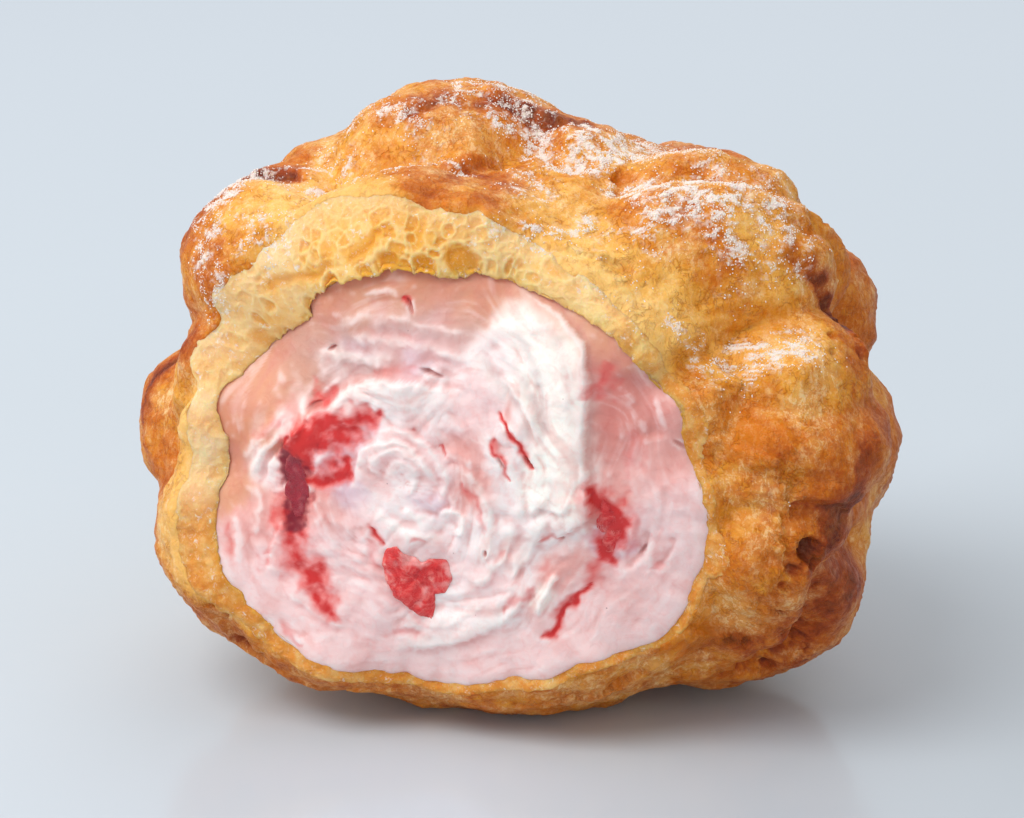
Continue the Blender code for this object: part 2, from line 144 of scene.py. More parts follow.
# How far the skin is baked, 0 pale to 1 dark, at places (clock, opening) that blend into each other
BAKED = [
    # the cap
    (90, 80, 0.44), (122, 76, 0.32), (76, 78, 0.38),
    # the brow
    (90, 56, 0.60), (90, 68, 0.54), (108, 60, 0.58), (108, 72, 0.44), (122, 66, 0.20), (126, 61, 0.10),
    (76, 60, 0.34),
    # the left dome
    (134, 66, 0.20), (130, 68, 0.12), (140, 80, 0.66), (141, 62, 0.44), (148, 72, 0.68), (160, 70, 0.58),
    (152, 60, 0.46),
    # the ear and the left side
    (180, 53, 0.24), (195, 53, 0.34), (165, 66, 0.54), (185, 72, 0.60), (200, 64, 0.62),
    # along the bottom
    (214, 55, 0.60), (235, 58, 0.62), (255, 57, 0.60), (275, 57, 0.58), (295, 58, 0.56), (318, 56, 0.48),
    (318, 72, 0.56), (270, 85, 0.50),
    # the chin, cheek and step at the right
    (338, 54, 0.44), (338, 70, 0.82), (0, 52, 0.38), (0, 63, 0.66), (0, 78, 0.66), (20, 50, 0.54),
    (20, 70, 0.36), (26, 62, 0.30), (14, 82, 0.60),
    # the right dome
    (40, 55, 0.14), (40, 70, 0.32), (36, 84, 0.24), (58, 56, 0.12), (55, 70, 0.46), (60, 84, 0.38),
    # over the top and behind
    (90, 100, 0.54), (40, 105, 0.56), (0, 110, 0.58), (180, 105, 0.34), (140, 105, 0.54), (225, 90, 0.50),
    (315, 95, 0.56), (0, 150, 0.56), (120, 150, 0.54), (240, 150, 0.62),
]

# Browner spots on top of that: (clock, opening), radius in degrees, and how much browner
BROWNED = [
    # the cap
    (96, 87, 1.5, 0.4), (113, 82, 2.5, 0.25), (107, 86, 2.5, 0.3), (102, 88, 2.5, 0.25),
    # the brow
    (96, 63, 1.8, 0.3), (92, 69, 2.2, 0.3), (89, 58, 2, 0.25), (99, 57, 1.8, 0.25), (104, 58, 1.8, 0.25),
    # the left dome
    (136, 71, 3.5, 0.15), (136, 79, 4, 0.35), (131, 76, 3, 0.35), (142, 78, 5, 0.2), (144, 63, 2.5, 0.2),
    (149, 62, 2.5, 0.2), (155, 62, 2.5, 0.1),
    # the ear and the left side
    (180, 75, 4, 0.2), (177, 77, 3, 0.25), (164, 63, 2.5, 0.2), (174, 79, 3, 0.25),
    # along the bottom
    (322, 60, 3, 0.18), (303, 58, 3, 0.12), (292, 49, 3, 0.1), (230, 46, 3, 0.14), (213, 52, 3, 0.2),
    (324, 62, 2.5, 0.3), (322, 78, 6, 0.15),
    # the chin, cheek and step at the right
    (28, 80, 1.2, 0.55), (24, 81, 1.3, 0.6), (20, 80, 1.4, 0.6), (19, 75, 1.6, 0.35), (16, 77, 1.5, 0.35),
    (4, 69, 2.5, 0.35), (0, 68, 2.5, 0.35), (356, 68, 2.5, 0.35), (9, 73, 2, 0.2), (352, 66, 3, 0.35),
    (338, 58, 2, 0.15), (344, 53, 2, 0.12), (9, 55, 2, 0.1), (12, 60, 3, 0.1), (347, 63, 4, 0.25),
    (330, 72, 4, 0.15),
    # the right dome
    (52, 69, 3, 0.2), (48, 69, 3.5, 0.25), (44, 69, 3, 0.15), (51, 62, 3, 0.2), (40, 69, 4, 0.2),
    (50, 58, 4, 0.12), (46, 64, 4, 0.14), (39, 66, 4, 0.12), (35, 78, 1.5, 0.3), (31, 79, 1.3, 0.5),
    # over the top and behind
    (92, 90, 1.6, 0.5), (88, 91, 1.6, 0.6), (84, 92, 1.6, 0.6), (80, 92, 1.8, 0.6), (77, 93, 2, 0.5),
]

# Amber places, where the skin is thin and glassy: (clock, opening), radius in degrees, and how much
AMBER = [
    # the cap
    (100, 75, 2.2, 0.6), (97, 79, 2.2, 0.8), (92, 84, 2.2, 0.7), (120, 78, 2, 0.6), (112, 80, 2, 0.6),
    # the brow
    (121, 57.5, 2, 0.7), (115, 57, 2, 0.6),
    # the ear and the left side
    (200, 52, 4, 0.3), (165, 50, 3, 0.2),
    # along the bottom
    (321, 56, 5, 0.6), (285, 56, 7, 0.35), (328, 52, 4, 0.5), (300, 53, 5, 0.4), (310, 60, 4, 0.4),
    # the chin, cheek and step at the right
    (29, 58, 4, 0.35), (26, 65, 3, 0.2), (23, 60, 2.5, 0.5), (330, 58, 5, 0.9), (20, 50, 3, 0.7),
    (25, 70, 3, 0.2), (14, 50, 4, 0.7), (11, 54, 3.5, 0.9), (335, 51, 4, 0.6), (350, 53, 4, 0.4),
    (350, 48, 3, 0.4),
    # the right dome
    (65, 80, 2.5, 1.0), (48, 86, 3, 0.8), (42, 84, 3, 0.9), (37, 84, 3, 0.7), (36, 74, 2, 0.7),
    (58, 62, 4, 0.3),
]

# Where icing sugar lies: (clock, opening), radius in degrees, and how thick
SUGARED = [
    # the cap
    (120, 76, 3, 0.7), (126, 80, 4, 0.8), (116, 86, 4, 0.7), (104, 80, 3, 0.6), (84, 87, 4, 0.8),
    (79, 78, 3, 0.7), (110, 84, 3, 0.9), (113, 81, 2, 0.6), (101, 87, 4, 0.9), (94, 84, 3, 0.6),
    (89, 87, 4, 0.7), (82, 83, 4, 0.9), (76, 82, 4, 0.9), (91, 77, 3, 0.5), (107, 78, 3, 0.5),
    # the brow
    (116, 51, 2, 0.35), (128, 72, 4, 0.6), (97, 68, 3, 0.5), (108, 68, 4.5, 0.8), (118, 67, 4, 0.7),
    (98, 70, 3.5, 0.7), (126, 68, 3, 0.5), (84, 72, 4, 0.7), (88, 64, 2.5, 0.4), (78, 68, 4, 0.8),
    (82, 62, 3, 0.6), (103, 73, 2, 0.5), (98, 73, 2, 0.4), (84, 53, 2.2, 0.6), (79, 55, 2.2, 0.8),
    (87, 50, 2, 0.3),
    # the left dome
    (143, 70, 4, 0.7), (139, 73, 3.5, 0.9), (149, 64, 3, 0.6), (156, 61, 3, 0.4), (137, 79, 4, 1.0),
    (146, 78, 5, 0.7), (137, 62, 2.5, 0.6), (130, 61, 2, 0.4), (134, 65, 3, 0.3), (140, 61, 2.2, 0.9),
    (146, 60.5, 2.2, 0.75), (151, 59, 2, 0.5), (143, 65, 2.5, 0.7), (134, 59, 3.5, 0.4), (138, 57, 3, 0.3),
    # the chin, cheek and step at the right
    (24, 64, 3, 0.8), (22, 70, 3, 0.6), (26, 57, 2.5, 0.6), (22, 60, 3, 0.8), (21, 64, 3, 0.8),
    (22, 68, 2.5, 0.5), (24, 54, 3, 0.5), (18, 57, 3, 0.3), (17, 74, 2, 0.4), (356, 58, 2, 0.3),
    (350, 55, 2, 0.25), (344, 54, 2, 0.15),
    # the right dome
    (74, 88, 5, 0.9), (70, 80, 4, 0.9), (72, 86, 4, 0.8), (67, 86, 4, 0.7), (64, 76, 4, 0.9),
    (60, 74, 4, 1.0), (56, 70, 4, 0.9), (52, 76, 5, 0.9), (47, 77, 5, 0.9), (55, 65, 3.5, 0.7),
    (50, 70, 4, 0.7), (45, 70, 4, 0.7), (41, 69, 3, 0.6), (36, 72, 4, 0.5), (62, 61, 3, 0.9),
    (50, 63, 3, 0.5), (34, 66, 3.5, 0.4), (33, 77, 4, 0.6), (40, 79, 5, 0.6), (74, 55, 3, 0.9),
    (70, 57, 2.4, 0.8), (66, 60, 3, 0.8), (68, 53, 3, 0.35), (60, 56, 3, 0.4), (54, 52, 4, 0.3),
    (46, 52, 4, 0.35), (37, 54, 2.2, 0.9), (33, 54, 2.2, 0.6), (30, 56, 2.2, 0.5), (56, 86, 5, 0.7),
    (49, 85, 4, 0.6),
    # over the top and behind
    (68, 90, 5, 0.8), (93, 92, 5, 0.9), (64, 100, 9, 0.8), (90, 105, 12, 0.7), (120, 95, 9, 0.5),
    (40, 92, 7, 0.5), (100, 120, 12, 0.5), (65, 115, 10, 0.5),
]

# How pale the skin is by the torn edge, every 20 degrees of the clock: the degrees over which it fades
PALE_EDGE = [1, 1.6, 4, 4.5, 2.2, 1.5, 6, 0.8, 0.8, 3, 3, 2, 1, 1, 1, 1, 1, 1]

# The open seam at the lower right, where small holes show: (clock, opening), radius in degrees, how much
OPEN_SEAM = [(345, 61, 5, 1), (336, 67, 5, 1), (326, 73, 6, 1), (318, 74, 5, 0.8)]

CRUST_SEGMENTS = 600
SKIN_RINGS, EDGE_RINGS, LINING_RINGS = 142, 5, 9
EDGE_ROLL = 0.3 * MM  # how far the skin's cut edge rolls in
LINING_START = 0.025  # where the hollow's lining meets the crumb's underside, as a share of the hollow

OUTWARD = np.array([
    math.sin(TEAR_AZIMUTH) * math.cos(TEAR_ELEVATION),
    -math.cos(TEAR_AZIMUTH) * math.cos(TEAR_ELEVATION),
    math.sin(TEAR_ELEVATION),
])
RIGHTWARD = np.array([math.cos(TEAR_AZIMUTH), math.sin(TEAR_AZIMUTH), 0.0])
UPWARD = np.cross(OUTWARD, RIGHTWARD)


def unit(rows):
    return rows / np.linalg.norm(rows, axis=-1, keepdims=True)


def way(azimuth, elevation):
    a, e = math.radians(azimuth), math.radians(elevation)
    return np.array([math.sin(a) * math.cos(e), -math.cos(a) * math.cos(e), math.sin(e)])


def wander(points, length, seed=0):
    """Smooth noise vectors with features of about this length."""
    shifts = [Vector((seed + 9.3 * axis, -seed, 2 * seed)) for axis in range(3)]
    places = [Vector(p) for p in (points / length).tolist()]
    return np.array([[noise.noise(p + shift) for shift in shifts] for p in places])


def rumple(points, length, seed=0, octaves=3):
    """Smooth noise heights, about -1 to 1, with finer wrinkles on broader ones."""
    shift = Vector((seed, 2 * seed, -seed))
    return np.array([noise.fractal(Vector(p) + shift, 1.0, 2.0, octaves) for p in (points / length).tolist()])


def crinkle(points, length, seed=0):
    """Heights of sharp-crested wrinkles, 1 along the crests and about 0 between them."""
    shift = Vector((seed, 2 * seed, -seed))
    return np.array([1 - 2.5 * abs(noise.noise(Vector(p) + shift)) for p in (points / length).tolist()])


def bubbles(points, size):
    """For bubbles packed side by side: how far in from a wall each point is, and a number for each bubble."""
    wall, own = [], []
    for place in (points / size).tolist():
        away, middles = noise.voronoi(Vector(place))
        wall.append(away[1] - away[0])
        own.append(0.5 + 0.5 * math.sin(57 * middles[0].x + 91 * middles[0].y + 33 * middles[0].z))
    return np.array(wall), np.array(own)


def ramp(values, low, high):
    """0 up to low, 1 from high, and smoothly between them."""
    share = np.clip((values - low) / (high - low), 0, 1)
    return share * share * (3 - 2 * share)


def by_the_clock(table, clock):
    """Reads a table with values at even steps round the tear, smoothly between them."""
    count = len(table)
    place = np.mod(clock / (2 * math.pi), 1) * count
    low = np.floor(place).astype(int)
    share = place - low
    share = share * share * (3 - 2 * share)
    values = np.array(table, float)
    return values[low % count] * (1 - share) + values[(low + 1) % count] * share


def ellipsoid_reach(ways, middle, halves):
    """How far from the heart each way leaves an ellipsoid, and 0 where it misses."""
    d, m = ways / halves, middle / halves
    a, b, c = (d * d).sum(axis=1), d @ m, m @ m - 1
    inside = b * b - a * c
    return np.where(inside > 0, (b + np.sqrt(np.maximum(inside, 0))) / a, 0)


def back_bulges():
    """Lumps for the far side: a golden-angle spiral, less its ways near a named lump or the front."""
    taken = [np.array(middle) / np.linalg.norm(middle) for middle, _ in BULGES]
    found = []
    for k in range(BACK_BULGES):
        up = 1 - 2 * (k + 0.5) / BACK_BULGES
        turn = k * math.pi * (3 - math.sqrt(5))
        flat = math.sqrt(1 - up * up)
        toward = np.array([flat * math.cos(turn), flat * math.sin(turn), up])
        by_a_named_lump = max(toward @ other for other in taken) > math.cos(math.radians(20))
        in_front = toward[1] - 0.3 * up < 0.25
        underneath = up < -0.75
        if by_a_named_lump or in_front or underneath:
            continue
        swell = noise.noise(Vector(toward * 5))
        half = BACK_HALF_SIZE * (1 + 0.5 * swell)
        reach = ellipsoid_reach(toward[None], PLAIN_MIDDLE, PLAIN_HALVES)[0] * (BACK_REACH + 0.07 * swell)
        found.append((toward * (reach - half), np.array([half, half, half * 0.9])))
    return found


def path_distance(points, path):
    """Distance from each point to a path of straight runs."""
    nearest = np.full(len(points), np.inf)
    for start, end in zip(path[:-1], path[1:]):
        run = end - start
        share = np.clip((points - start) @ run / (run @ run), 0, 1)
        nearest = np.minimum(nearest, np.linalg.norm(points - start - share[:, None] * run, axis=1))
    return nearest


def crease_depth(ways, reach):
    """How deep the creases cut at each way."""
    depth = np.zeros(len(ways))
    for corners, width, most in CREASES:
        away = path_distance(ways, [way(*corner) for corner in corners]) * reach / (width * MM)
        depth = np.maximum(depth, most * MM * np.exp(-away * away))
    return depth


def crust_reach(ways):
    """How far the crust lies from the heart along each way. The foot cuts it off flat."""
    bent = unit(ways + WAVINESS * wander(ways, 0.45))
    lumps = [(PLAIN_MIDDLE, PLAIN_HALVES), *((np.array(m) * MM, np.array(h) * MM) for m, h in BULGES)]
    reaches = np.array([ellipsoid_reach(bent, middle, halves) for middle, halves in lumps + back_bulges()])
    reach = BLEND * np.log(np.exp(reaches / BLEND).sum(axis=0))
    reach += WRINKLE_DEPTH * rumple(ways * reach[:, None], WRINKLE_LENGTH)
    reach -= crease_depth(ways, reach)
    return np.minimum(reach, HEART[2] / np.maximum(-ways[:, 2], 1e-6))


def hollow_reach(ways):
    """How far the bun's hollow lies from the heart, away from the tear."""
    reach = ellipsoid_reach(ways, PLAIN_MIDDLE, PLAIN_HALVES - WALL)
    return np.minimum(reach, (HEART[2] - 1.1 * WALL) / np.maximum(-ways[:, 2], 1e-6))


def in_tear_axes(clock, radius, front):
    """The point at a place on the clock, a distance from the tear's axis and one in front of the heart."""
    return (
        (radius * np.cos(clock))[:, None] * RIGHTWARD
        + (radius * np.sin(clock))[:, None] * UPWARD
        + np.broadcast_to(front, clock.shape)[:, None] * OUTWARD
    )


def way_from_tear(clock, opening):
    """The unit vector at a place on the clock and an angle from the tear's axis."""
    return in_tear_axes(clock, np.sin(opening), np.cos(opening))


def on_a_circle(clock):
    """Points on a circle, for noise that meets itself after a whole turn."""
    return np.stack([np.cos(clock), np.sin(clock), np.zeros(len(clock))], axis=1)


def tear_opening(clock):
    """The angle at which the tear opens, uneven as torn pastry is."""
    uneven = rumple(on_a_circle(clock), 0.3, seed=5)
    return np.radians(by_the_clock(TEAR_OPENING, clock) + RAGGEDNESS * uneven)


def tear_point(clock):
    """The torn edge of the crumb, where the cream meets it."""
    ways = way_from_tear(clock, tear_opening(clock))
    return ways * (crust_reach(ways) - by_the_clock(CRUMB_DEPTH, clock) * MM)[:, None]


def skin_edge(clock):
    """The angle at which the skin ends round the torn crumb, ragged in long and short waves."""
    around = on_a_circle(clock)
    width = by_the_clock(CRUMB_WIDTH, clock)
    ragged = 0.16 * width * rumple(around, 0.14, seed=31)
    ragged += (0.12 + 0.05 * width) * rumple(around, 0.05, seed=32)
    return tear_opening(clock) + (width + ragged) * MM / MEAN_REACH


def angle_between(points, toward):
    return np.arccos(np.clip(unit(points) @ toward, -1, 1))


def toward_place(clock, opening):
    """The unit vector toward one place round the tear, given in degrees."""
    return way_from_tear(np.radians([clock]), np.radians([opening]))[0]


def hollow_point(clock, share, inset=0.0, slack=0.0):
    """The hollow's wall, share 0 at the tear and 1 at the far end. Slack comes off it beyond the mouth."""
    edge = tear_point(clock)
    start = angle_between(edge, OUTWARD)
    ways = way_from_tear(clock, start + (math.pi - start) * share)
    mouth = np.linalg.norm(edge, axis=1)
    ease = ramp(share, 0, 0.3)
    return ways * (mouth * (1 - ease) + (hollow_reach(ways) - slack) * ease - inset)[:, None]


def smooth_path(corners, steps=6):
    """Points along a curve through the corners."""
    corners = np.array(corners, float)
    corners = np.concatenate([2 * corners[:1] - corners[1:2], corners, 2 * corners[-1:] - corners[-2:-1]])
    t = (np.arange(steps) / steps)[:, None]
    spans = [
        b + (c - a) * t / 2 + (a - 2.5 * b + 2 * c - d / 2) * t**2 + (1.5 * (b - c) + (d - a) / 2) * t**3
        for a, b, c, d in zip(corners, corners[1:], corners[2:], corners[3:])
    ]
    return np.concatenate([*spans, corners[-2:-1]])


def beside(points, path, outward):
    """Distance to a path, positive on its left as seen from outside, and the share of the path gone there."""
    near = np.full(len(points), np.inf)
    left, along = np.ones(len(points)), np.zeros(len(points))
    for k, (start, end) in enumerate(zip(path[:-1], path[1:])):
        run = end - start
        share = np.clip((points - start) @ run / (run @ run), 0, 1)
        away = np.linalg.norm(points - start - share[:, None] * run, axis=1)
        side = np.sign((np.cross(run, points - start) * outward).sum(axis=1))
        nearer = away < near
        near = np.where(nearer, away, near)
        left = np.where(nearer, side, left)
        along = np.where(nearer, (k + share) / (len(path) - 1), along)
    return near * left, along


def spots(ways, places, ragged):
    """Sums soft round spots at places round the tear, their outlines made uneven."""
    total = np.zeros(len(ways))
    for clock, opening, radius, strength in places:
        away = np.degrees(angle_between(ways, toward_place(clock, opening))) / radius
        total += strength * np.exp(-(away * (1 + 0.45 * ragged)) ** 2)
    return total


def skin_lips(ways, reach):
    """Height of the skin's overlapping layers, and how dark the grooves under their edges are: partly
    browned, partly painted shade.
    """
    height, brown_and_shade = np.zeros(len(ways)), np.zeros(len(ways))
    ragged = rumple(ways * reach[:, None], 2.2 * MM, seed=41) * 0.5 * MM
    for corners, proud, fade, browning_and_shade in LIPS:
        corners = smooth_path(corners, steps=5)
        path = way_from_tear(np.radians(corners[:, 0]), np.radians(corners[:, 1]))
        away, along = beside(ways, path, ways)
        away = away * reach + ragged
        taper = ramp(along, 0, 0.15) * ramp(-along, -1, -0.85)
        inner = np.exp(-np.maximum(away, 0) / (fade * MM)) * ramp(away, -0.25 * MM, 0.25 * MM)
        height += proud * MM * taper * inner
        under = np.exp(-np.abs(away / MM + 0.5) / 0.9)
        height -= 0.45 * proud * MM * taper * under
        # the groove under the edge is darkened: partly browned skin, partly painted shade
        brown_and_shade = np.maximum(brown_and_shade, browning_and_shade * taper * under)
    return height, brown_and_shade


def skin_pits(ways, reach):
    """Depth of the burst bubbles, each a little out of round."""
    depth = np.zeros(len(ways))
    uneven = rumple(ways * reach[:, None], 1.2 * MM, seed=43)
    for clock, opening, radius, deep in PITS:
        away = np.linalg.norm(ways - toward_place(clock, opening), axis=1) * reach
        away *= (1 + 0.35 * uneven) / (radius * MM)
        depth = np.maximum(depth, deep * MM * ramp(-away, -1.15, -0.35))
    return depth


def skin_texture(points):
    """The relief that covers all of the skin: wrinkles, finer wrinkles, blisters and flaky plates."""
    stretched = points + 0.9 * MM * wander(points, 5 * MM, seed=45)
    wrinkles = crinkle(stretched * np.array([1.0, 1.0, 1.9]), 1.9 * MM, seed=46)
    fine = crinkle(stretched * np.array([1.0, 1.0, 1.5]), 0.8 * MM, seed=47)
    walls, own = bubbles(points + 0.5 * MM * wander(points, 2 * MM, seed=48), 2.4 * MM)
    blisters = ramp(walls, 0.0, 0.5) * (own > 0.45)
    walls, own = bubbles(points + 1.2 * MM * wander(points, 4 * MM, seed=50), 4.5 * MM)
    plates = (own - 0.5) * ramp(walls, 0.0, 0.2)
    return wrinkles, fine, blisters, plates


def seam_holes(ways, points, ragged):
    """How deep, 0 to 1, the small holes along the open seam are."""
    walls, own = bubbles(points, 1.3 * MM)
    seam = np.clip(spots(ways, OPEN_SEAM, ragged), 0, 1)
    return seam * ramp(walls, 0.12, 0.55) * ramp(own, 0.35, 0.8)


def baking(ways, ragged):
    """How far the skin is baked: each place's share of it, and the browner spots on top."""
    weights = np.full(len(ways), 1e-9)
    baked = np.zeros(len(ways))
    for clock, opening, value in BAKED:
        spread = 8 if opening < 90 else 22
        away = np.degrees(angle_between(ways, toward_place(clock, opening)))
        weight = np.exp(-((away / spread) ** 2))
        baked += weight * value
        weights += weight
    return baked / weights + 0.6 * spots(ways, BROWNED, ragged)


def dress_skin(ways, plain):
    """Lays the fine relief on the plain crust. Returns the new reach and what the skin's finish needs."""
    points = ways * plain[:, None]
    clock = np.arctan2(ways @ UPWARD, ways @ RIGHTWARD)
    past_edge = np.degrees(angle_between(ways, OUTWARD) - skin_edge(clock))
    ragged = rumple(points, 2.6 * MM, seed=44)
    lips, lip_brown_and_shade = skin_lips(ways, plain)
    pits = skin_pits(ways, plain)
    wrinkles, fine, blisters, plates = skin_texture(points)
    holes = seam_holes(ways, points, ragged)

    relief = 0.15 * rumple(points, 3.2 * MM, seed=49)
    relief += 0.15 * wrinkles + 0.08 * fine + 0.06 * blisters + 0.14 * plates
    relief = relief * MM + lips - pits - 0.55 * MM * holes
    foot = ramp(-ways[:, 2] * plain, HEART[2] - 1.2 * MM, HEART[2] - 0.2 * MM)
    reach = plain + relief * ramp(past_edge, -0.2, 0.8) * (1 - foot)

    low = ramp(-ways[:, 2], 0.1, 0.5)
    pale_width = by_the_clock(PALE_EDGE, clock)
    pale = np.exp(-np.maximum(past_edge, 0) / pale_width) * ramp(pale_width, 0.8, 3.5)
    baked = baking(ways, ragged)
    baked += 0.13 * rumple(points, 9 * MM, seed=51) + 0.07 * rumple(points, 3.5 * MM, seed=52)
    # painted shade in the hollows between wrinkles and painted light on their crests, and each plate a little
    # browner or paler
    baked += 0.05 * (0.5 - wrinkles) + 0.08 * plates
    # darker under the lips' edges, in the seam's holes and in the pits: partly baked colour, partly painted
    # shade in these recesses
    baked += 0.7 * lip_brown_and_shade + 0.22 * holes + 0.28 * np.clip(pits / (1.5 * MM), 0, 1)
    # amber in the listed places, and in the wrinkles' hollows partly the thin glassy skin, partly painted
    # shade
    amber = spots(ways, AMBER, ragged) + 0.25 * ramp(-wrinkles, -0.35, 0.2) * (1 - low)

    upward = ramp(ways[:, 2] + 0.35 * (wrinkles - 0.5), -0.1, 0.5)
    crests = 0.35 + 0.65 * ramp(0.6 * wrinkles + 0.6 * fine, 0.35, 0.95)
    sugar = np.clip(spots(ways, SUGARED, ragged), 0, 1.2) * (0.4 + 0.6 * upward) * crests
    return reach, {
        "baked": np.clip(baked * (1 - 0.5 * pale), 0, 0.92),
        "amber": np.clip(amber, 0, 1),
        "sugar": sugar * (1 - ramp(pits, 0.2 * MM, 0.8 * MM)),
        "dry": np.clip(0.40 + 0.5 * rumple(points, 6 * MM, seed=53) + 0.1 * low, 0, 1),
        "pale": pale,
    }


def crust_point(clock, share):
    """A ball's surface folded into a cup: from share 0 behind the bun its skin, then its edge and hollow."""
    rings = SKIN_RINGS + EDGE_RINGS + LINING_RINGS
    skin_end, edge_end = SKIN_RINGS / rings, (SKIN_RINGS + EDGE_RINGS) / rings
    points = np.empty((len(clock), 3))
    finish = {name: np.zeros(len(clock)) for name in ("baked", "amber", "sugar", "dry", "pale")}
    skin, lining = share <= edge_end + 1e-6, share > edge_end + 1e-6

    end = skin_edge(clock[skin])
    back = np.clip(1 - share[skin] / skin_end, 0, 1)
    roll = np.clip((share[skin] - skin_end) / (edge_end - skin_end), 0, 1) * math.pi / 2
    opening = end + (math.pi - end) * (0.62 * back + 0.38 * back**3)  # rings lie closest by the tear
    opening -= EDGE_ROLL / MEAN_REACH * np.sin(roll)
    ways = way_from_tear(clock[skin], opening)
    reach, skin_finish = dress_skin(ways, crust_reach(ways))
    points[skin] = ways * (reach - EDGE_ROLL * (1 - np.cos(roll)))[:, None]
    for name, values in skin_finish.items():
        finish[name][skin] = values

    inward = (share[lining] - edge_end) / (1 - edge_end)
    lined = LINING_START + (1 - LINING_START) * inward**1.4
    points[lining] = hollow_point(clock[lining], lined, inset=-GAP)
    return points + HEART, finish


def keep_values(mesh, finish):
    """Stores numbers for every vertex, which the piece's material reads by name."""
    for name, values in finish.items():
        mesh.attributes.new(name, "FLOAT", "POINT").data.foreach_set("value", values.astype(np.float32))


def ball_faces(rings, segments):
    """Faces of a closed form whose points are one pole, rings of points and the other pole."""
    around = np.arange(segments)
    after = (around + 1) % segments
    last = 1 + rings * segments
    faces = np.stack([0 * around, 1 + after, 1 + around], axis=1).tolist()
    for low in range(1, last - segments, segments):
        high = low + segments
        faces += np.stack([low + around, low + after, high + after, high + around], axis=1).tolist()
    low = last - segments
    return faces + np.stack([low + around, low + after, 0 * around + last], axis=1).tolist()


def closed_piece(name, points, faces, finish, material):
    """A smooth-shaded closed piece with its faces outwards, its values for every point and its material."""
    corners = np.array([face[:3] for face in faces])
    a, b, c = (points[corners[:, k]] for k in range(3))
    if (np.cross(a, b) * c).sum() < 0:
        faces = [face[::-1] for face in faces]
    mesh = bpy.data.meshes.new(name)
    mesh.from_pydata(points.tolist(), [], faces)
    keep_values(mesh, finish)
    mesh.shade_smooth()
    mesh.materials.append(material)
    piece = bpy.data.objects.new(name, mesh)
    bpy.context.scene.collection.objects.link(piece)
    return piece


def shade(red, green, blue):
    """A colour given as seen on a screen, 0 to 255, in the linear numbers that a material takes."""
    return (*(((c / 255 + 0.055) / 1.055) ** 2.4 for c in (red, green, blue)), 1)


def feed(tree, node, **inputs):
    """Sets a node's inputs, named by name or as i and index, to numbers or to other nodes' outputs."""
    for name, value in inputs.items():
        indexed = name[0] == "i" and name[1:].isdigit()
        socket = node.inputs[int(name[1:]) if indexed else name.replace("_", " ")]
        if isinstance(value, bpy.types.NodeSocket):
            tree.links.new(value, socket)
        else:
            socket.default_value = value


def put(tree, kind, settings=None, **inputs):
    """Adds a node with its settings and its inputs."""
    node = tree.nodes.new(kind)
    for name, value in (settings or {}).items():
        setattr(node, name, value)
    feed(tree, node, **inputs)
    return node


def blend_colours(tree, amount, first, second, blend="MIX"):
    settings = {"data_type": "RGBA", "clamp_factor": True, "blend_type": blend}
    return put(tree, "ShaderNodeMix", settings, i0=amount, i6=first, i7=second).outputs[2]


def sums(tree, operation, first, second, third=0.0, clamp=False):
    settings = {"operation": operation, "use_clamp": clamp}
    return put(tree, "ShaderNodeMath", settings, i0=first, i1=second, i2=third).outputs[0]


def times(tree, first, second, clamp=False):
    return sums(tree, "MULTIPLY", first, second, clamp=clamp)


def swayed(tree, value, amount, texture):
    """A value that a texture moves up and down by this amount."""
    return sums(tree, "MULTIPLY_ADD", sums(tree, "SUBTRACT", texture, 0.5), amount, value)


def spread(tree, value, start, end, low=0.0, high=1.0):
    """Low up to start, high from end, and evenly between them."""
    return put(tree, "ShaderNodeMapRange", i0=value, i1=start, i2=end, i3=low, i4=high).outputs[0]


def colour_steps(tree, value, steps):
    """Colours that follow a value, through (place, colour) steps."""
    node = put(tree, "ShaderNodeValToRGB", Fac=value)
    elements = node.color_ramp.elements
    for place, colour in steps[2:]:
        elements.new(place)
    for element, (place, colour) in zip(elements, steps):
        element.position = place
        element.color = colour
    return node.outputs["Color"]


def read(tree, name):
    return put(tree, "ShaderNodeAttribute", {"attribute_name": name}).outputs["Fac"]


def grain(tree, where, per_millimetre, detail=3.0, roughness=0.55, stretch=None, warp=0.0):
    """Noise, about 0 to 1, with so many features to the millimetre."""
    if stretch:
        where = put(tree, "ShaderNodeMapping", Vector=where, Scale=stretch).outputs[0]
    noise_node = put(
        tree, "ShaderNodeTexNoise", Vector=where, Scale=per_millimetre / MM, Detail=detail,
        Roughness=roughness, Distortion=warp,
    )
    return noise_node.outputs[0]


def new_material(name):
    """A material with one shader, its tree and a place to read Object coordinates."""
    made = bpy.data.materials.new(name)
    made.use_nodes = True
    tree = made.node_tree
    where = tree.nodes.new("ShaderNodeTexCoord").outputs["Object"]
    return made, tree, tree.nodes["Principled BSDF"], where


# Icing sugar that has settled as a thin film between the grains, for the crust and the torn crumb alike
dusting = bpy.data.node_groups.new("icing_dust", "ShaderNodeTree")
for name, kind, direction in (
    ("Amount", "NodeSocketFloat", "INPUT"),
    ("Place", "NodeSocketVector", "INPUT"),
    ("Mask", "NodeSocketFloat", "OUTPUT"),
):
    dusting.interface.new_socket(name=name, in_out=direction, socket_type=kind)
dust_in, dust_out = dusting.nodes.new("NodeGroupInput"), dusting.nodes.new("NodeGroupOutput")
clumps = grain(dusting, dust_in.outputs["Place"], 0.7, roughness=0.6)
specks = grain(dusting, dust_in.outputs["Place"], 1.7, roughness=0.6, warp=0.8)
film = sums(dusting, "MULTIPLY_ADD", specks, 1.2, times(dusting, clumps, 0.6))
film = sums(dusting, "MULTIPLY_ADD", dust_in.outputs["Amount"], 0.38, film)
dusting.links.new(spread(dusting, film, 1.04, 1.26), dust_out.inputs["Mask"])

SUGAR_WHITE = shade(244, 232, 224)

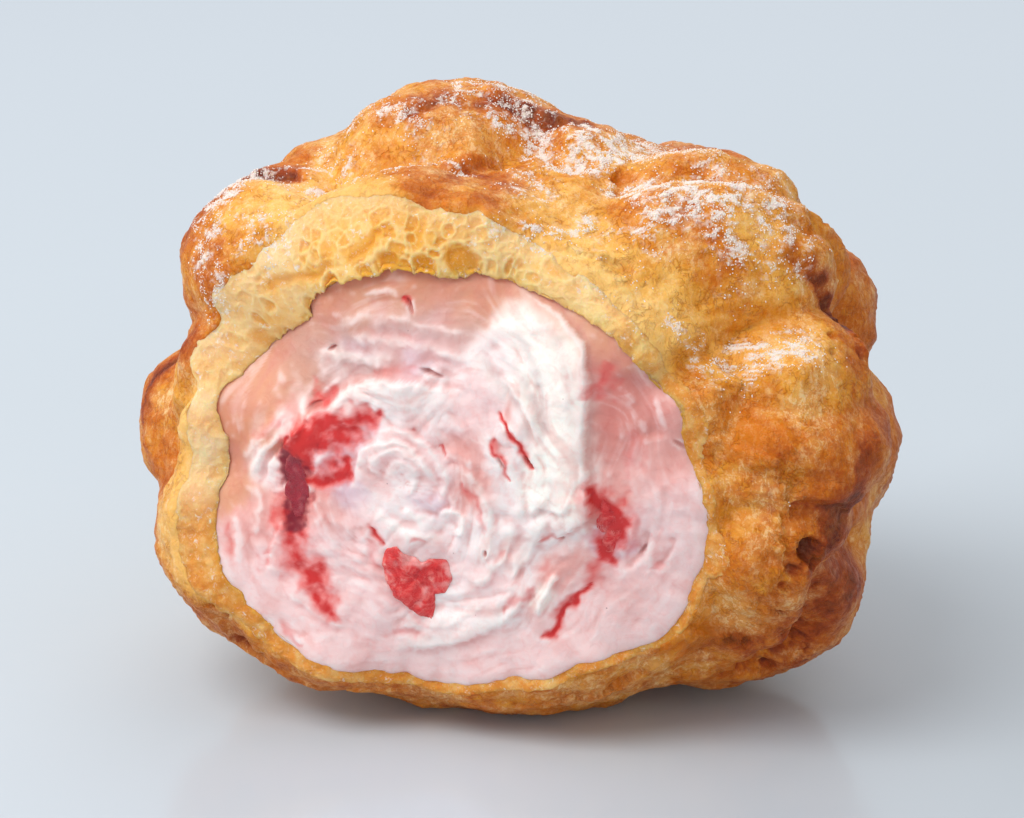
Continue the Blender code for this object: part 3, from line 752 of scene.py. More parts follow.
crust_finish, tree, shader, where = new_material("baked_choux_skin")
mottle = grain(tree, where, 0.28, detail=5.0, roughness=0.6, warp=0.6)
freckle = grain(tree, where, 1.3, detail=4.0, roughness=0.65, warp=0.4)
fibre = grain(tree, where, 1.7, stretch=(1.0, 1.0, 0.5), warp=0.8)
patches = grain(tree, where, 0.42, roughness=0.5)
veins = grain(tree, where, 0.75, roughness=0.5, warp=1.2)
speck = grain(tree, where, 5.0, detail=2.0, roughness=0.6)
# the baked value carries painted shade in the wrinkles' hollows, under the lips and in the pits
baked = swayed(tree, swayed(tree, read(tree, "baked"), 0.48, mottle), 0.38, freckle)
skin_colour = colour_steps(tree, baked, [
    (0.0, shade(255, 212, 134)), (0.2, shade(247, 187, 90)), (0.4, shade(226, 149, 42)),
    (0.58, shade(205, 109, 15)), (0.76, shade(166, 68, 8)), (0.94, shade(106, 34, 8)),
])
# amber, with painted shade in the wrinkles' hollows among it
skin_colour = blend_colours(tree, times(tree, read(tree, "amber"), 0.75), skin_colour, shade(216, 122, 8))

# A dry veil lies on the paler skin, with darker veins and torn fibres in it, and the torn edge is paler still
paler = spread(tree, baked, 0.80, 0.48, 0.10, 1.0)
veil = spread(tree, swayed(tree, read(tree, "dry"), 1.6, patches), 0.35, 0.85)
veiled = times(tree, times(tree, veil, paler), 0.34)
skin_colour = blend_colours(tree, veiled, skin_colour, shade(242, 194, 126))
vein = spread(tree, sums(tree, "ABSOLUTE", sums(tree, "SUBTRACT", veins, 0.5), 0.0), 0.045, 0.0)
vein = times(tree, vein, spread(tree, patches, 0.58, 0.42))
skin_colour = blend_colours(tree, times(tree, vein, 0.5), skin_colour, shade(176, 84, 16))
flecks = spread(tree, sums(tree, "MULTIPLY_ADD", speck, 0.6, fibre), 0.79, 0.93)
flecks = times(tree, flecks, sums(tree, "MULTIPLY_ADD", veil, 0.6, 0.14, clamp=True))
skin_colour = blend_colours(tree, times(tree, flecks, paler), skin_colour, shade(248, 211, 156))
torn = spread(tree, swayed(tree, read(tree, "pale"), 1.6, freckle), 0.35, 0.95)
skin_colour = blend_colours(tree, times(tree, torn, 0.75), skin_colour, shade(243, 186, 104))

sugar = read(tree, "sugar")
dust = put(tree, "ShaderNodeGroup", {"node_tree": dusting}, Amount=sugar, Place=where).outputs["Mask"]
dust = times(tree, dust, times(tree, sugar, 1.1, clamp=True))
pucker = sums(tree, "MULTIPLY_ADD", fibre, 0.4, times(tree, freckle, 0.8))
pucker = sums(tree, "MULTIPLY_ADD", vein, -0.25, pucker)
pucker = sums(tree, "MULTIPLY_ADD", speck, 0.16, pucker)
pucker = sums(tree, "MULTIPLY_ADD", dust, 0.3, pucker)
gloss = spread(tree, freckle, 0.35, 0.65, 0.32, 0.58)
feed(
    tree, shader,
    Base_Color=blend_colours(tree, times(tree, dust, 0.9), skin_colour, SUGAR_WHITE),
    Roughness=sums(tree, "MULTIPLY_ADD", dust, 0.4, gloss, clamp=True),
    Normal=put(tree, "ShaderNodeBump", Height=pucker, Distance=0.28 * MM, Strength=0.9).outputs[0],
    Subsurface_Weight=0.22, Subsurface_Radius=(1.0, 0.45, 0.15), Subsurface_Scale=1.0 * MM,
    Specular_IOR_Level=0.22,
)

crust_rings = SKIN_RINGS + EDGE_RINGS + LINING_RINGS
ring_share = np.arange(1, crust_rings) / crust_rings
ring_clock = np.arange(CRUST_SEGMENTS) / CRUST_SEGMENTS * 2 * math.pi
crust_points, crust_values = crust_point(
    np.concatenate([[0], np.tile(ring_clock, crust_rings - 1), [0]]),
    np.concatenate([[0], np.repeat(ring_share, CRUST_SEGMENTS), [1]]),
)
crust = closed_piece(
    "baked_crust", crust_points, ball_faces(crust_rings - 1, CRUST_SEGMENTS), crust_values, crust_finish
)
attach(crust, "root")
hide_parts("choux_shell")


# ---- The torn crumb ----
# Under the skin the choux is soft, golden and full of bubbles. Tearing laid them open in a band round the
# mouth, widest over the left shoulder: smooth round cells between thin pale walls, and a ragged inner lip.

CRUMB_COLUMNS = 1080
FACE_ROWS, LIP_ROWS, UNDER_ROWS = 50, 14, 8
CRUMB_ROWS = FACE_ROWS + LIP_ROWS + UNDER_ROWS
TUCK = 0.10  # the share of the face's rows that lie under the skin's edge
TUCK_REACH, TUCK_DROP = 0.8 * MM, 0.5 * MM  # how far and how deep they go under it
LIP_SHARE = 0.045  # how far the lip turns into the hollow
UNDERSIDE = 0.3 * MM  # how far the lip's far end lies outside the hollow's wall
SMALL_CELL = 1.7 * MM
TINY_CELL = 0.75 * MM
FACE_REACH = 34  # from the heart to the torn face, in millimetres

# How amber and how pale the crumb is, every 20 degrees of the clock
WARM = [0.95, 1, 0.3, 0, 0, 0, 0, 0, 0.1, 0.3, 1, 1, 1, 1, 1, 1, 1, 1]
WAN = [0, 0, 0.1, 0.35, 0.3, 0, 0.1, 0.4, 0.4, 0.75, 0, 0, 0, 0, 0, 0, 0, 0]

# The larger cells: (clock, opening), then half sizes along and across the band and depth in millimetres
CELLS = [
    (111, 46, 1.35, 1.05, 0.75), (118, 45.5, 0.85, 0.75, 0.55), (129, 46.5, 1.35, 1.2, 0.75),
    (139, 49, 0.9, 0.85, 0.55), (146, 53.5, 0.6, 0.45, 0.4), (135, 48.5, 0.5, 0.45, 0.35),
    (108, 44.5, 1.0, 0.8, 0.45), (123, 44.5, 1.0, 0.7, 0.3), (113, 42.5, 0.8, 0.5, 0.25),
    (151, 54.5, 0.55, 0.5, 0.4), (150, 51.5, 0.55, 0.5, 0.4), (155, 54, 1.1, 0.8, 0.4),
    (158, 56, 0.8, 0.6, 0.3), (92, 46, 2.0, 1.15, 0.8), (102, 44.5, 1.2, 0.95, 0.6),
    (108, 47.5, 0.9, 0.6, 0.35), (99, 46.5, 0.7, 0.4, 0.4), (95, 50, 0.7, 0.5, 0.4),
    (79, 47, 0.35, 0.5, 0.5), (66, 49, 1.6, 1.0, 0.3), (62, 49, 0.4, 0.4, 0.4), (87, 50.5, 0.6, 0.5, 0.3),
    (168, 50, 0.7, 0.5, 0.3), (176, 50, 0.9, 0.5, 0.3), (186, 50, 0.8, 0.5, 0.35),
    (142, 57, 0.6, 0.5, 0.25), (128, 52, 0.7, 0.5, 0.25), (84, 46, 0.7, 0.5, 0.3), (72, 46, 0.8, 0.5, 0.3),
    (163, 54, 0.8, 0.5, 0.3), (147, 49, 0.7, 0.5, 0.35), (104, 49, 0.5, 0.4, 0.3),
]

# Long valleys between folds of crumb: (clock, opening) corners, then half width and depth in millimetres
VALLEYS = [
    ([(142, 54.5), (137, 53), (132, 50.5), (126, 49.5)], 0.55, 0.65),
    ([(120, 48.5), (115, 49.5), (111, 50.5)], 0.6, 0.65), ([(103, 48), (100.5, 52)], 0.5, 0.4),
    ([(157, 58), (150, 57.5), (143, 59)], 0.5, 0.3),
]


def under_skin(clock, tucked):
    """Where the crumb meets the skin's edge, and from there, tucked 0 to 1, on under the skin."""
    start = way_from_tear(clock, skin_edge(clock) + TUCK_REACH / MEAN_REACH * tucked)
    return start * (crust_reach(start) - 0.04 * MM - TUCK_DROP * tucked)[:, None]


def crumb_point(clock, across):
    """A band round the mouth: across it, 0 to 1 is its torn face, 1 to 2 its lip and 2 to 3 its underside."""
    face_share = -TUCK + (1 + TUCK) * np.clip(across, 0, 1)
    share = np.clip(face_share, 0, 1)
    outer = under_skin(clock, np.clip(-face_share / TUCK, 0, 1))
    around = on_a_circle(clock)
    fray = (0.26 * rumple(around, 0.06, seed=61) + 0.08 * rumple(around, 0.016, seed=62)) * MM
    inner = tear_point(clock)
    inner = inner + fray[:, None] * unit(outer - inner)

    bulge = by_the_clock(CRUMB_DEPTH, clock) * MM * (share - share**2.2)
    torn = outer * (1 - share)[:, None] + inner * share[:, None] + bulge[:, None] * unit(outer + inner)
    deep = np.clip(across - 1, 0, 1)
    lip = hollow_point(clock, LIP_SHARE * deep) + (fray * (1 - deep))[:, None] * unit(outer - inner)
    under_share = np.clip(across - 2, 0, 1)[:, None]
    low_end = hollow_point(clock, np.full(len(clock), LIP_SHARE), inset=-UNDERSIDE)
    under = low_end * (1 - under_share) + under_skin(clock, np.ones(len(clock))) * 0.985 * under_share
    return np.where((across <= 1)[:, None], torn, np.where((across <= 2)[:, None], lip, under))


across = np.interp(np.arange(CRUMB_ROWS), [0, FACE_ROWS, FACE_ROWS + LIP_ROWS, CRUMB_ROWS], [0, 1, 2, 3])
clocks = np.repeat(np.arange(CRUMB_COLUMNS) / CRUMB_COLUMNS * 2 * math.pi, CRUMB_ROWS)
across = np.tile(across, CRUMB_COLUMNS)
band = crumb_point(clocks, across)
grid = band.reshape(CRUMB_COLUMNS, CRUMB_ROWS, 3)
round_wise = np.roll(grid, -1, axis=0) - np.roll(grid, 1, axis=0)
band_wise = np.gradient(grid, axis=1)
facing = unit(np.cross(round_wise, band_wise))
facing *= np.sign((facing[:, : FACE_ROWS - 4] * unit(grid[:, : FACE_ROWS - 4])).sum())
facing = facing.reshape(-1, 3)

# Honeycomb: the listed cells and valleys first, then smaller bubbles where they leave room
room = np.clip(by_the_clock(CRUMB_WIDTH, clocks) / 7, 0.25, 1.1)
bent = band + 0.35 * MM * wander(band, 1.5 * MM, seed=63)
big = np.zeros(len(band))
for cell_clock, cell_opening, half_along, half_across, deep in CELLS:
    middle = toward_place(cell_clock, cell_opening)
    near = np.flatnonzero(unit(band) @ middle > math.cos(0.11))
    reach = np.linalg.norm(band[near], axis=1).mean()
    along = np.cross(OUTWARD, middle)
    offset = bent[near] - middle * reach
    x = offset @ unit(along) / (half_along * MM)
    y = offset @ unit(np.cross(middle, along)) / (half_across * MM)
    away = (np.abs(x) ** 2.6 + np.abs(y) ** 2.6) ** (1 / 2.6)
    pit = deep * ramp(-away, -1.08, -0.55) - 0.16 * np.exp(-(((away - 1.22) / 0.16) ** 2))
    big[near] = np.where(np.abs(pit) > np.abs(big[near]), pit, big[near])
valley = np.zeros(len(band))
for corners, half_width, deep in VALLEYS:
    path = smooth_path(corners, steps=4)
    ways_along = way_from_tear(np.radians(path[:, 0]), np.radians(path[:, 1]))
    away = path_distance(unit(bent), ways_along) * FACE_REACH / half_width
    valley = np.maximum(valley, deep * np.exp(-(away**2)))
free = 1 - ramp(np.maximum(np.abs(big), valley), 0.08, 0.3)
stretched = band + 0.8 * MM * wander(band, 3 * MM, seed=67)
small_wall, small_own = bubbles(stretched, SMALL_CELL)
tiny_wall, tiny_own = bubbles(bent, TINY_CELL)
small = ramp(small_wall, 0.03, 0.34) * (0.3 + 0.7 * ramp(small_own, 0.2, 0.8)) * free
tiny = ramp(tiny_wall, 0.05, 0.45) * ramp(tiny_own, 0.2, 0.7) * free
shown = ramp(across, 0.02, 0.22) * ramp(-across, -1.5, -1.02)
rough_zone = ramp(-across, -0.75, -0.2)
inner_part = 0.45 + 0.55 * ramp(across, 0.2, 0.55)
thin = 1 - ramp(room, 0.3, 0.75)
depth = 0.75 * big * room.clip(0.6) + 0.6 * valley + (0.25 * small + 0.09 * tiny) * room * inner_part
depth -= 0.20 * rumple(band, 3.0 * MM, seed=64)
depth -= (0.03 + 0.05 * rough_zone) * crinkle(band, 0.65 * MM, seed=65)
depth -= thin * (0.28 * rumple(band, 4.0 * MM, seed=68) + 0.05 * crinkle(band, 1.6 * MM, seed=69))
crumb_points = band - (shown * depth * MM)[:, None] * facing + HEART

crumb_ragged = rumple(band, 2.6 * MM, seed=44)
# Deeper gold towards the cells' floors is partly the crumb's colour and partly painted shade; the paler walls
# are partly their own colour and partly painted highlight
cell_floor = np.clip(big / 0.6, 0, 1) + np.clip(valley / 0.6, 0, 1)
wall_edge = np.clip(-big / 0.12, 0, 1) + 0.8 * (1 - ramp(small_wall, 0.0, 0.16)) * free * room
warm = by_the_clock(WARM, clocks) + 0.3 * rumple(band, 5 * MM, seed=66)
wan = by_the_clock(WAN, clocks) * (1 + 0.9 * rumple(band, 4 * MM, seed=70)) * (1 - 0.5 * cell_floor)
sugared = np.clip(spots(unit(band), SUGARED, crumb_ragged), 0, 1.2) * (1 - cell_floor).clip(0, 1)
crumb_values = {
    "cell": np.clip(cell_floor + 0.55 * small * room + 0.3 * tiny * room, 0, 1),
    "wall": np.clip(wall_edge, 0, 1),
    "across": np.clip(across, 0, 2),
    "sugar": sugared * ramp(-across, -1.0, -0.4),
    "warm": np.clip(warm, 0, 1),
    "wan": np.clip(wan, 0, 1),
    "narrow": thin,
}

crumb_finish, tree, shader, where = new_material("torn_choux_crumb")
mottle = grain(tree, where, 0.5, detail=4.0, roughness=0.6)
fuzz = grain(tree, where, 2.4, detail=4.0, roughness=0.65, warp=0.5)
speck = grain(tree, where, 4.5, detail=2.0, roughness=0.6)
# the cells painted a deeper gold towards their floors, partly painted shade, and their walls paler, partly
# painted highlight
crumb_colour = colour_steps(tree, swayed(tree, read(tree, "cell"), 0.5, fuzz), [
    (0.0, shade(246, 194, 112)), (0.3, shade(243, 181, 84)), (0.7, shade(238, 166, 58)),
    (1.0, shade(232, 154, 40)),
])
crumb_colour = blend_colours(tree, times(tree, read(tree, "wall"), 0.6), crumb_colour, shade(248, 212, 148))
powdery = spread(tree, read(tree, "across"), 0.55, 0.10)
powdery = times(tree, powdery, sums(tree, "MULTIPLY_ADD", mottle, 0.8, 0.35, clamp=True))
powder_colour = blend_colours(tree, fuzz, shade(232, 168, 92), shade(246, 208, 160))
crumb_colour = blend_colours(tree, powdery, crumb_colour, powder_colour)

# Where the band is narrow it is a drier, more uneven crumb, amber in places and pale in others
thin_colour = colour_steps(tree, mottle, [
    (0.34, shade(218, 130, 34)), (0.5, shade(240, 170, 72)), (0.64, shade(252, 212, 138)),
])
warmth = times(tree, read(tree, "warm"), sums(tree, "MULTIPLY_ADD", mottle, -1.0, 1.25), clamp=True)
thin_colour = blend_colours(tree, times(tree, warmth, 0.85), thin_colour, shade(212, 120, 30))
crumb_colour = blend_colours(tree, times(tree, read(tree, "narrow"), 0.9), crumb_colour, thin_colour)
crumb_colour = blend_colours(tree, times(tree, read(tree, "wan"), 0.8), crumb_colour, shade(254, 228, 184))
inner_glow = spread(tree, read(tree, "across"), 0.86, 1.1)
crumb_colour = blend_colours(tree, times(tree, inner_glow, 0.6), crumb_colour, shade(244, 164, 56))
flecks = spread(tree, sums(tree, "MULTIPLY_ADD", speck, 0.6, fuzz), 0.84, 1.04)
crumb_colour = blend_colours(tree, times(tree, flecks, 0.35), crumb_colour, shade(249, 218, 172))
sugar = read(tree, "sugar")
dust = put(tree, "ShaderNodeGroup", {"node_tree": dusting}, Amount=sugar, Place=where).outputs["Mask"]
fluff = sums(tree, "MULTIPLY_ADD", speck, 0.4, fuzz)
feed(
    tree, shader,
    Base_Color=blend_colours(tree, times(tree, dust, 0.85), crumb_colour, SUGAR_WHITE),
    Roughness=spread(tree, mottle, 0.3, 0.7, 0.5, 0.7),
    Normal=put(tree, "ShaderNodeBump", Height=fluff, Distance=0.25 * MM, Strength=0.7).outputs[0],
    Subsurface_Weight=0.5, Subsurface_Radius=(1.0, 0.55, 0.2), Subsurface_Scale=1.8 * MM,
    Specular_IOR_Level=0.22,
)

index = np.arange(CRUMB_COLUMNS * CRUMB_ROWS).reshape(CRUMB_COLUMNS, CRUMB_ROWS)
next_column, next_row = np.roll(index, -1, axis=0), np.roll(index, -1, axis=1)
opposite = np.roll(next_column, -1, axis=1)
crumb_faces = np.stack([index, next_column, opposite, next_row], axis=2).reshape(-1, 4).tolist()
crumb = closed_piece("torn_crumb", crumb_points, crumb_faces, crumb_values, crumb_finish)
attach(crumb, "root")


# ---- The whipped cream ----
# Cream whipped stiff with crushed strawberry, only half stirred in, so white strokes, pink clouds and red
# juice lie side by side. It was piped in until it filled the bun, and the tear shows its swirl.

CREAM_FRONT = 26.5 * MM
HOLLOW_LENGTH = 90  # along its wall from the mouth to the far end, in millimetres

# Every 20 degrees of the clock, in millimetres: how far the cream's edge is sunk, and how far it spills over
CREAM_SUNK = [0.4, 0.6, 1.2, 2.0, 2.6, 2.8, 2.6, 1.8, 1.0, 0.6, 0.4, 0.2, 0, 0, 0, 0, 0.1, 0.2]
SPILL = [0.2, 0.1, 0, 0, 0, 0, 0, 0, 0, 0, 0.15, 0.25, 0.35, 0.45, 0.5, 0.45, 0.3, 0.2]
SWIRL_MIDDLE = (-6.9, -1.2)
CREAM_CELLS = 290  # along each side of the face's square grid
BACK_RINGS = 9

# Strokes of cream: corners in millimetres right of and above the tear's axis, with the steep side on their
# left, then height, how far it fades on the other side and on the steep side, and how white it is
STROKES = [
    # the long fold over the left, and the curls under its end
    ([(-23.5, -5), (-21.8, -1), (-19.6, 2), (-17.9, 3.6), (-17.3, 4.9), (-15.2, 5.9), (-14, 7.3),
      (-12.3, 8.4), (-9.7, 9.4), (-6.8, 9.8), (-3.6, 9.4), (-0.5, 8.6)], 2.0, 4.5, 0.4, 0.7),
    ([(-19.2, 6.7), (-18.4, 4.9), (-19.2, 3.2), (-20.8, 2.0), (-22.8, 0.4), (-24.0, -1.5), (-24.3, -4.0)],
      1.2, 0.8, 0.55, 0.7),
    ([(-20.7, 4.5), (-21.8, 3.0), (-24.2, 0.7), (-25.5, -1.8)], 0.7, 0.8, 0.5, 0.4),
    # the white tongue's edge, its side and its grooves
    ([(4.5, 20.0), (8.4, 18.6), (11.3, 17.0), (13.0, 15.0), (13.7, 12.2), (13.8, 9.4), (13.6, 5.5),
      (13.6, 2.5), (14.0, -0.5), (14.1, -3.6), (13.0, -5.3), (10.9, -6.4), (9.3, -8.6)],
      1.7, 4.2, 0.4, 0.5),
    ([(0.2, 14.4), (3.0, 11.2), (6.6, 8.2), (8.6, 5.6), (9.6, 2.6)], 0.5, 1.6, 0.7, 0.5),
    ([(5.1, 14.6), (6.7, 12.1), (8.4, 9.6), (9.0, 6.8), (9.3, 3.4)], -0.6, 0.7, 0.45, 0.0),
    ([(3.4, 11.4), (5.4, 9.0), (6.6, 7.3), (7.9, 5.1), (8.7, 3.0)], -0.45, 0.6, 0.4, 0.0),
    ([(2.2, 14.6), (3.7, 16.0), (5.8, 16.7), (8.5, 16.8), (10.8, 16.2)], 0.5, 1.2, 0.8, 0.3),
    # the coil in the swirl's middle
    ([(-12.5, -3.8), (-12.1, -1.6), (-10.9, 1.4), (-9.3, 2.7), (-7.0, 3.0), (-4.9, 2.0), (-3.4, 0.2),
      (-3.0, -2)], 0.8, 2.0, 0.35, 0.5),
    ([(-10.6, 2.9), (-8.3, 4.0), (-5.8, 4.0), (-3.9, 2.8), (-2.2, 1.2), (-1.4, -1.0), (-1.8, -3.6)],
      0.45, 1.0, 0.35, 0.3),
    ([(-10.2, -1.4), (-9.8, 0.6), (-8.3, 1.8), (-6.6, 2.0), (-5.0, 1.2)], 0.4, 0.9, 0.3, 0.4),
    ([(-8.4, -2.4), (-8.2, -0.8), (-7.6, 0.3), (-6.5, 0.7), (-5.3, 0.1), (-4.9, -1.4), (-5.6, -2.8),
      (-7.1, -3.3)], 0.45, 1.0, 0.35, 0.4),
    # folds below the coil, by the heart-shaped fruit
    ([(-2.6, -5.4), (-1.2, -4.6), (0.3, -5.3), (0.3, -6.9), (-1.2, -7.5)], 0.55, 0.8, 0.3, 0.5),
    ([(-6.5, -4.6), (-4.6, -5.5), (-2.6, -5.9)], 0.45, 0.8, 0.35, 0.5),
    ([(-9.6, -4.6), (-7.6, -6.6), (-4.6, -7.6), (-1.8, -7.9)], 0.45, 1.3, 0.4, 0.5),
    # folds that run down beside the tongue
    ([(-1.0, 1.0), (1.8, -1.0), (3.4, -4.2), (3.4, -8.0), (1.8, -11.6)], 0.5, 1.6, 0.5, 0.5),
    ([(2.4, 5.0), (5.0, 1.8), (6.8, -1.6), (7.0, -5.6)], 0.6, 1.2, 0.4, 0.6),
    ([(4.6, 7.4), (6.6, 4.2), (8.4, 0.8)], 0.45, 0.8, 0.4, 0.5),
    ([(12.4, -1.0), (11.6, -3.4), (9.2, -3.0), (7.8, -4.6)], 0.6, 1.2, 0.4, 0.6),
    ([(10.2, -4.4), (8.6, -6.6), (7.6, -9.2), (5.4, -12.0)], 0.7, 1.4, 0.4, 0.7),
    ([(6.0, -5.0), (5.4, -8.2), (3.4, -11.6), (1.0, -14.0)], 0.45, 1.2, 0.4, 0.5),
    # along the bottom
    ([(11.0, -11.2), (9.9, -13.0), (8.5, -16.4)], 0.7, 0.7, 0.35, 0.8),
    ([(8.0, -11.6), (6.6, -15.0), (3.4, -18.0), (-0.6, -20.2), (-4.5, -21.3), (-8.6, -21.8)],
      0.9, 2.6, 0.5, 0.5),
    ([(3.0, -14.6), (0.4, -17.0), (-3.6, -18.6), (-7.6, -18.6)], 0.4, 1.2, 0.5, 0.4),
    # the smooth pink right side
    ([(17.8, 12.6), (19.4, 9.6), (20.9, 6.4), (21.4, 4.4)], -0.9, 1.0, 0.9, 0.0),
    ([(20.7, -5.4), (20.4, -7.4), (19.2, -9.2), (17.6, -10.6)], -0.8, 0.9, 0.5, 0.0),
    ([(23.2, -6.2), (22.8, -8.4), (21.6, -10.4)], -0.5, 0.7, 0.4, 0.0),
    ([(19.2, -3.8), (18.9, -6.4), (17.6, -9.0)], 0.4, 0.8, 0.35, 0.1),
    # the lower left
    ([(-22.3, -14.0), (-21.6, -10.5), (-20.6, -7.2)], 0.6, 1.4, 0.35, 0.3),
    ([(-24.4, -3.6), (-23.4, -6.6), (-23.8, -9.8)], 0.4, 1.0, 0.5, 0.3),
    ([(-13.2, -19.2), (-15.5, -18.4), (-18.3, -16.8), (-20.1, -15.6)], 0.4, 1.8, 0.5, 0.2),
    ([(-18.5, -21.2), (-19.1, -20.4), (-22.0, -19.4)], -0.4, 1.0, 0.6, 0.0),
    # the shaded top, and the left edge
    ([(-18.3, 10.4), (-15.8, 11.4), (-12.8, 11.6), (-9.8, 11.8), (-7.1, 12.2)], 0.4, 0.9, 0.6, 0.6),
    ([(-14.5, 13.6), (-10.5, 14.0), (-6.0, 14.0), (-1.5, 13.2), (1.5, 12.0)], 0.35, 0.8, 0.5, 0.3),
    ([(-16.5, 15.0), (-12.0, 16.2), (-7.5, 16.4), (-3.0, 15.6), (1.0, 15.2)], 0.4, 1.0, 0.6, 0.2),
    ([(-12.0, 18.6), (-9.4, 19.4), (-7.2, 19.0)], 0.4, 0.7, 0.5, 0.3),
    ([(-26.5, -7.0), (-25.6, -10.0), (-25.2, -13.0)], 0.4, 1.0, 0.5, 0.1),
]

# Small slits and holes between the folds: middle, half sizes in millimetres, and turn in degrees
SLITS = [
    (-3.4, 10.9, 1.3, 0.30, -18), (-6.2, 17.8, 0.9, 0.22, -62), (-15.6, 11.9, 0.6, 0.22, 35),
    (23.7, 3.9, 0.8, 0.26, -40), (11.3, -6.9, 0.3, 0.20, 0), (2.9, -9.1, 0.22, 0.4, 0),
    (7.7, 1.7, 0.9, 0.24, -52), (4.7, 1.5, 0.8, 0.2, -62), (-17.2, 5.6, 0.9, 0.35, 20),
    (20.0, -8.2, 0.8, 0.22, 60),
]

# Soft grooves that run down the white tongue, painted grey as shade: path in millimetres, width, and how grey
GROOVES = [
    ([(5.0, 16.0), (7.1, 13.8), (8.7, 10.4), (9.3, 6.8), (9.0, 2.3)], 0.6, 0.75),
    ([(2.4, 14.4), (4.0, 13.2), (7.1, 10.3), (8.7, 7.4), (8.9, 5.0)], 0.5, 0.6),
    ([(1.2, 13.2), (3.4, 11.6), (5.6, 9.0), (7.1, 6.4), (8.0, 3.8)], 0.55, 0.5),
    ([(6.4, 18.4), (8.9, 16.9), (10.7, 14.9), (11.8, 12.4), (12.3, 9.0), (12.3, 5.0)], 0.8, 0.35),
    ([(9.9, 0.6), (10.4, -1.8), (9.2, -3.6), (7.4, -5.4)], 0.5, 0.5),
    ([(8.0, -6.8), (7.2, -9.0), (5.2, -11.6)], 0.5, 0.4),
]

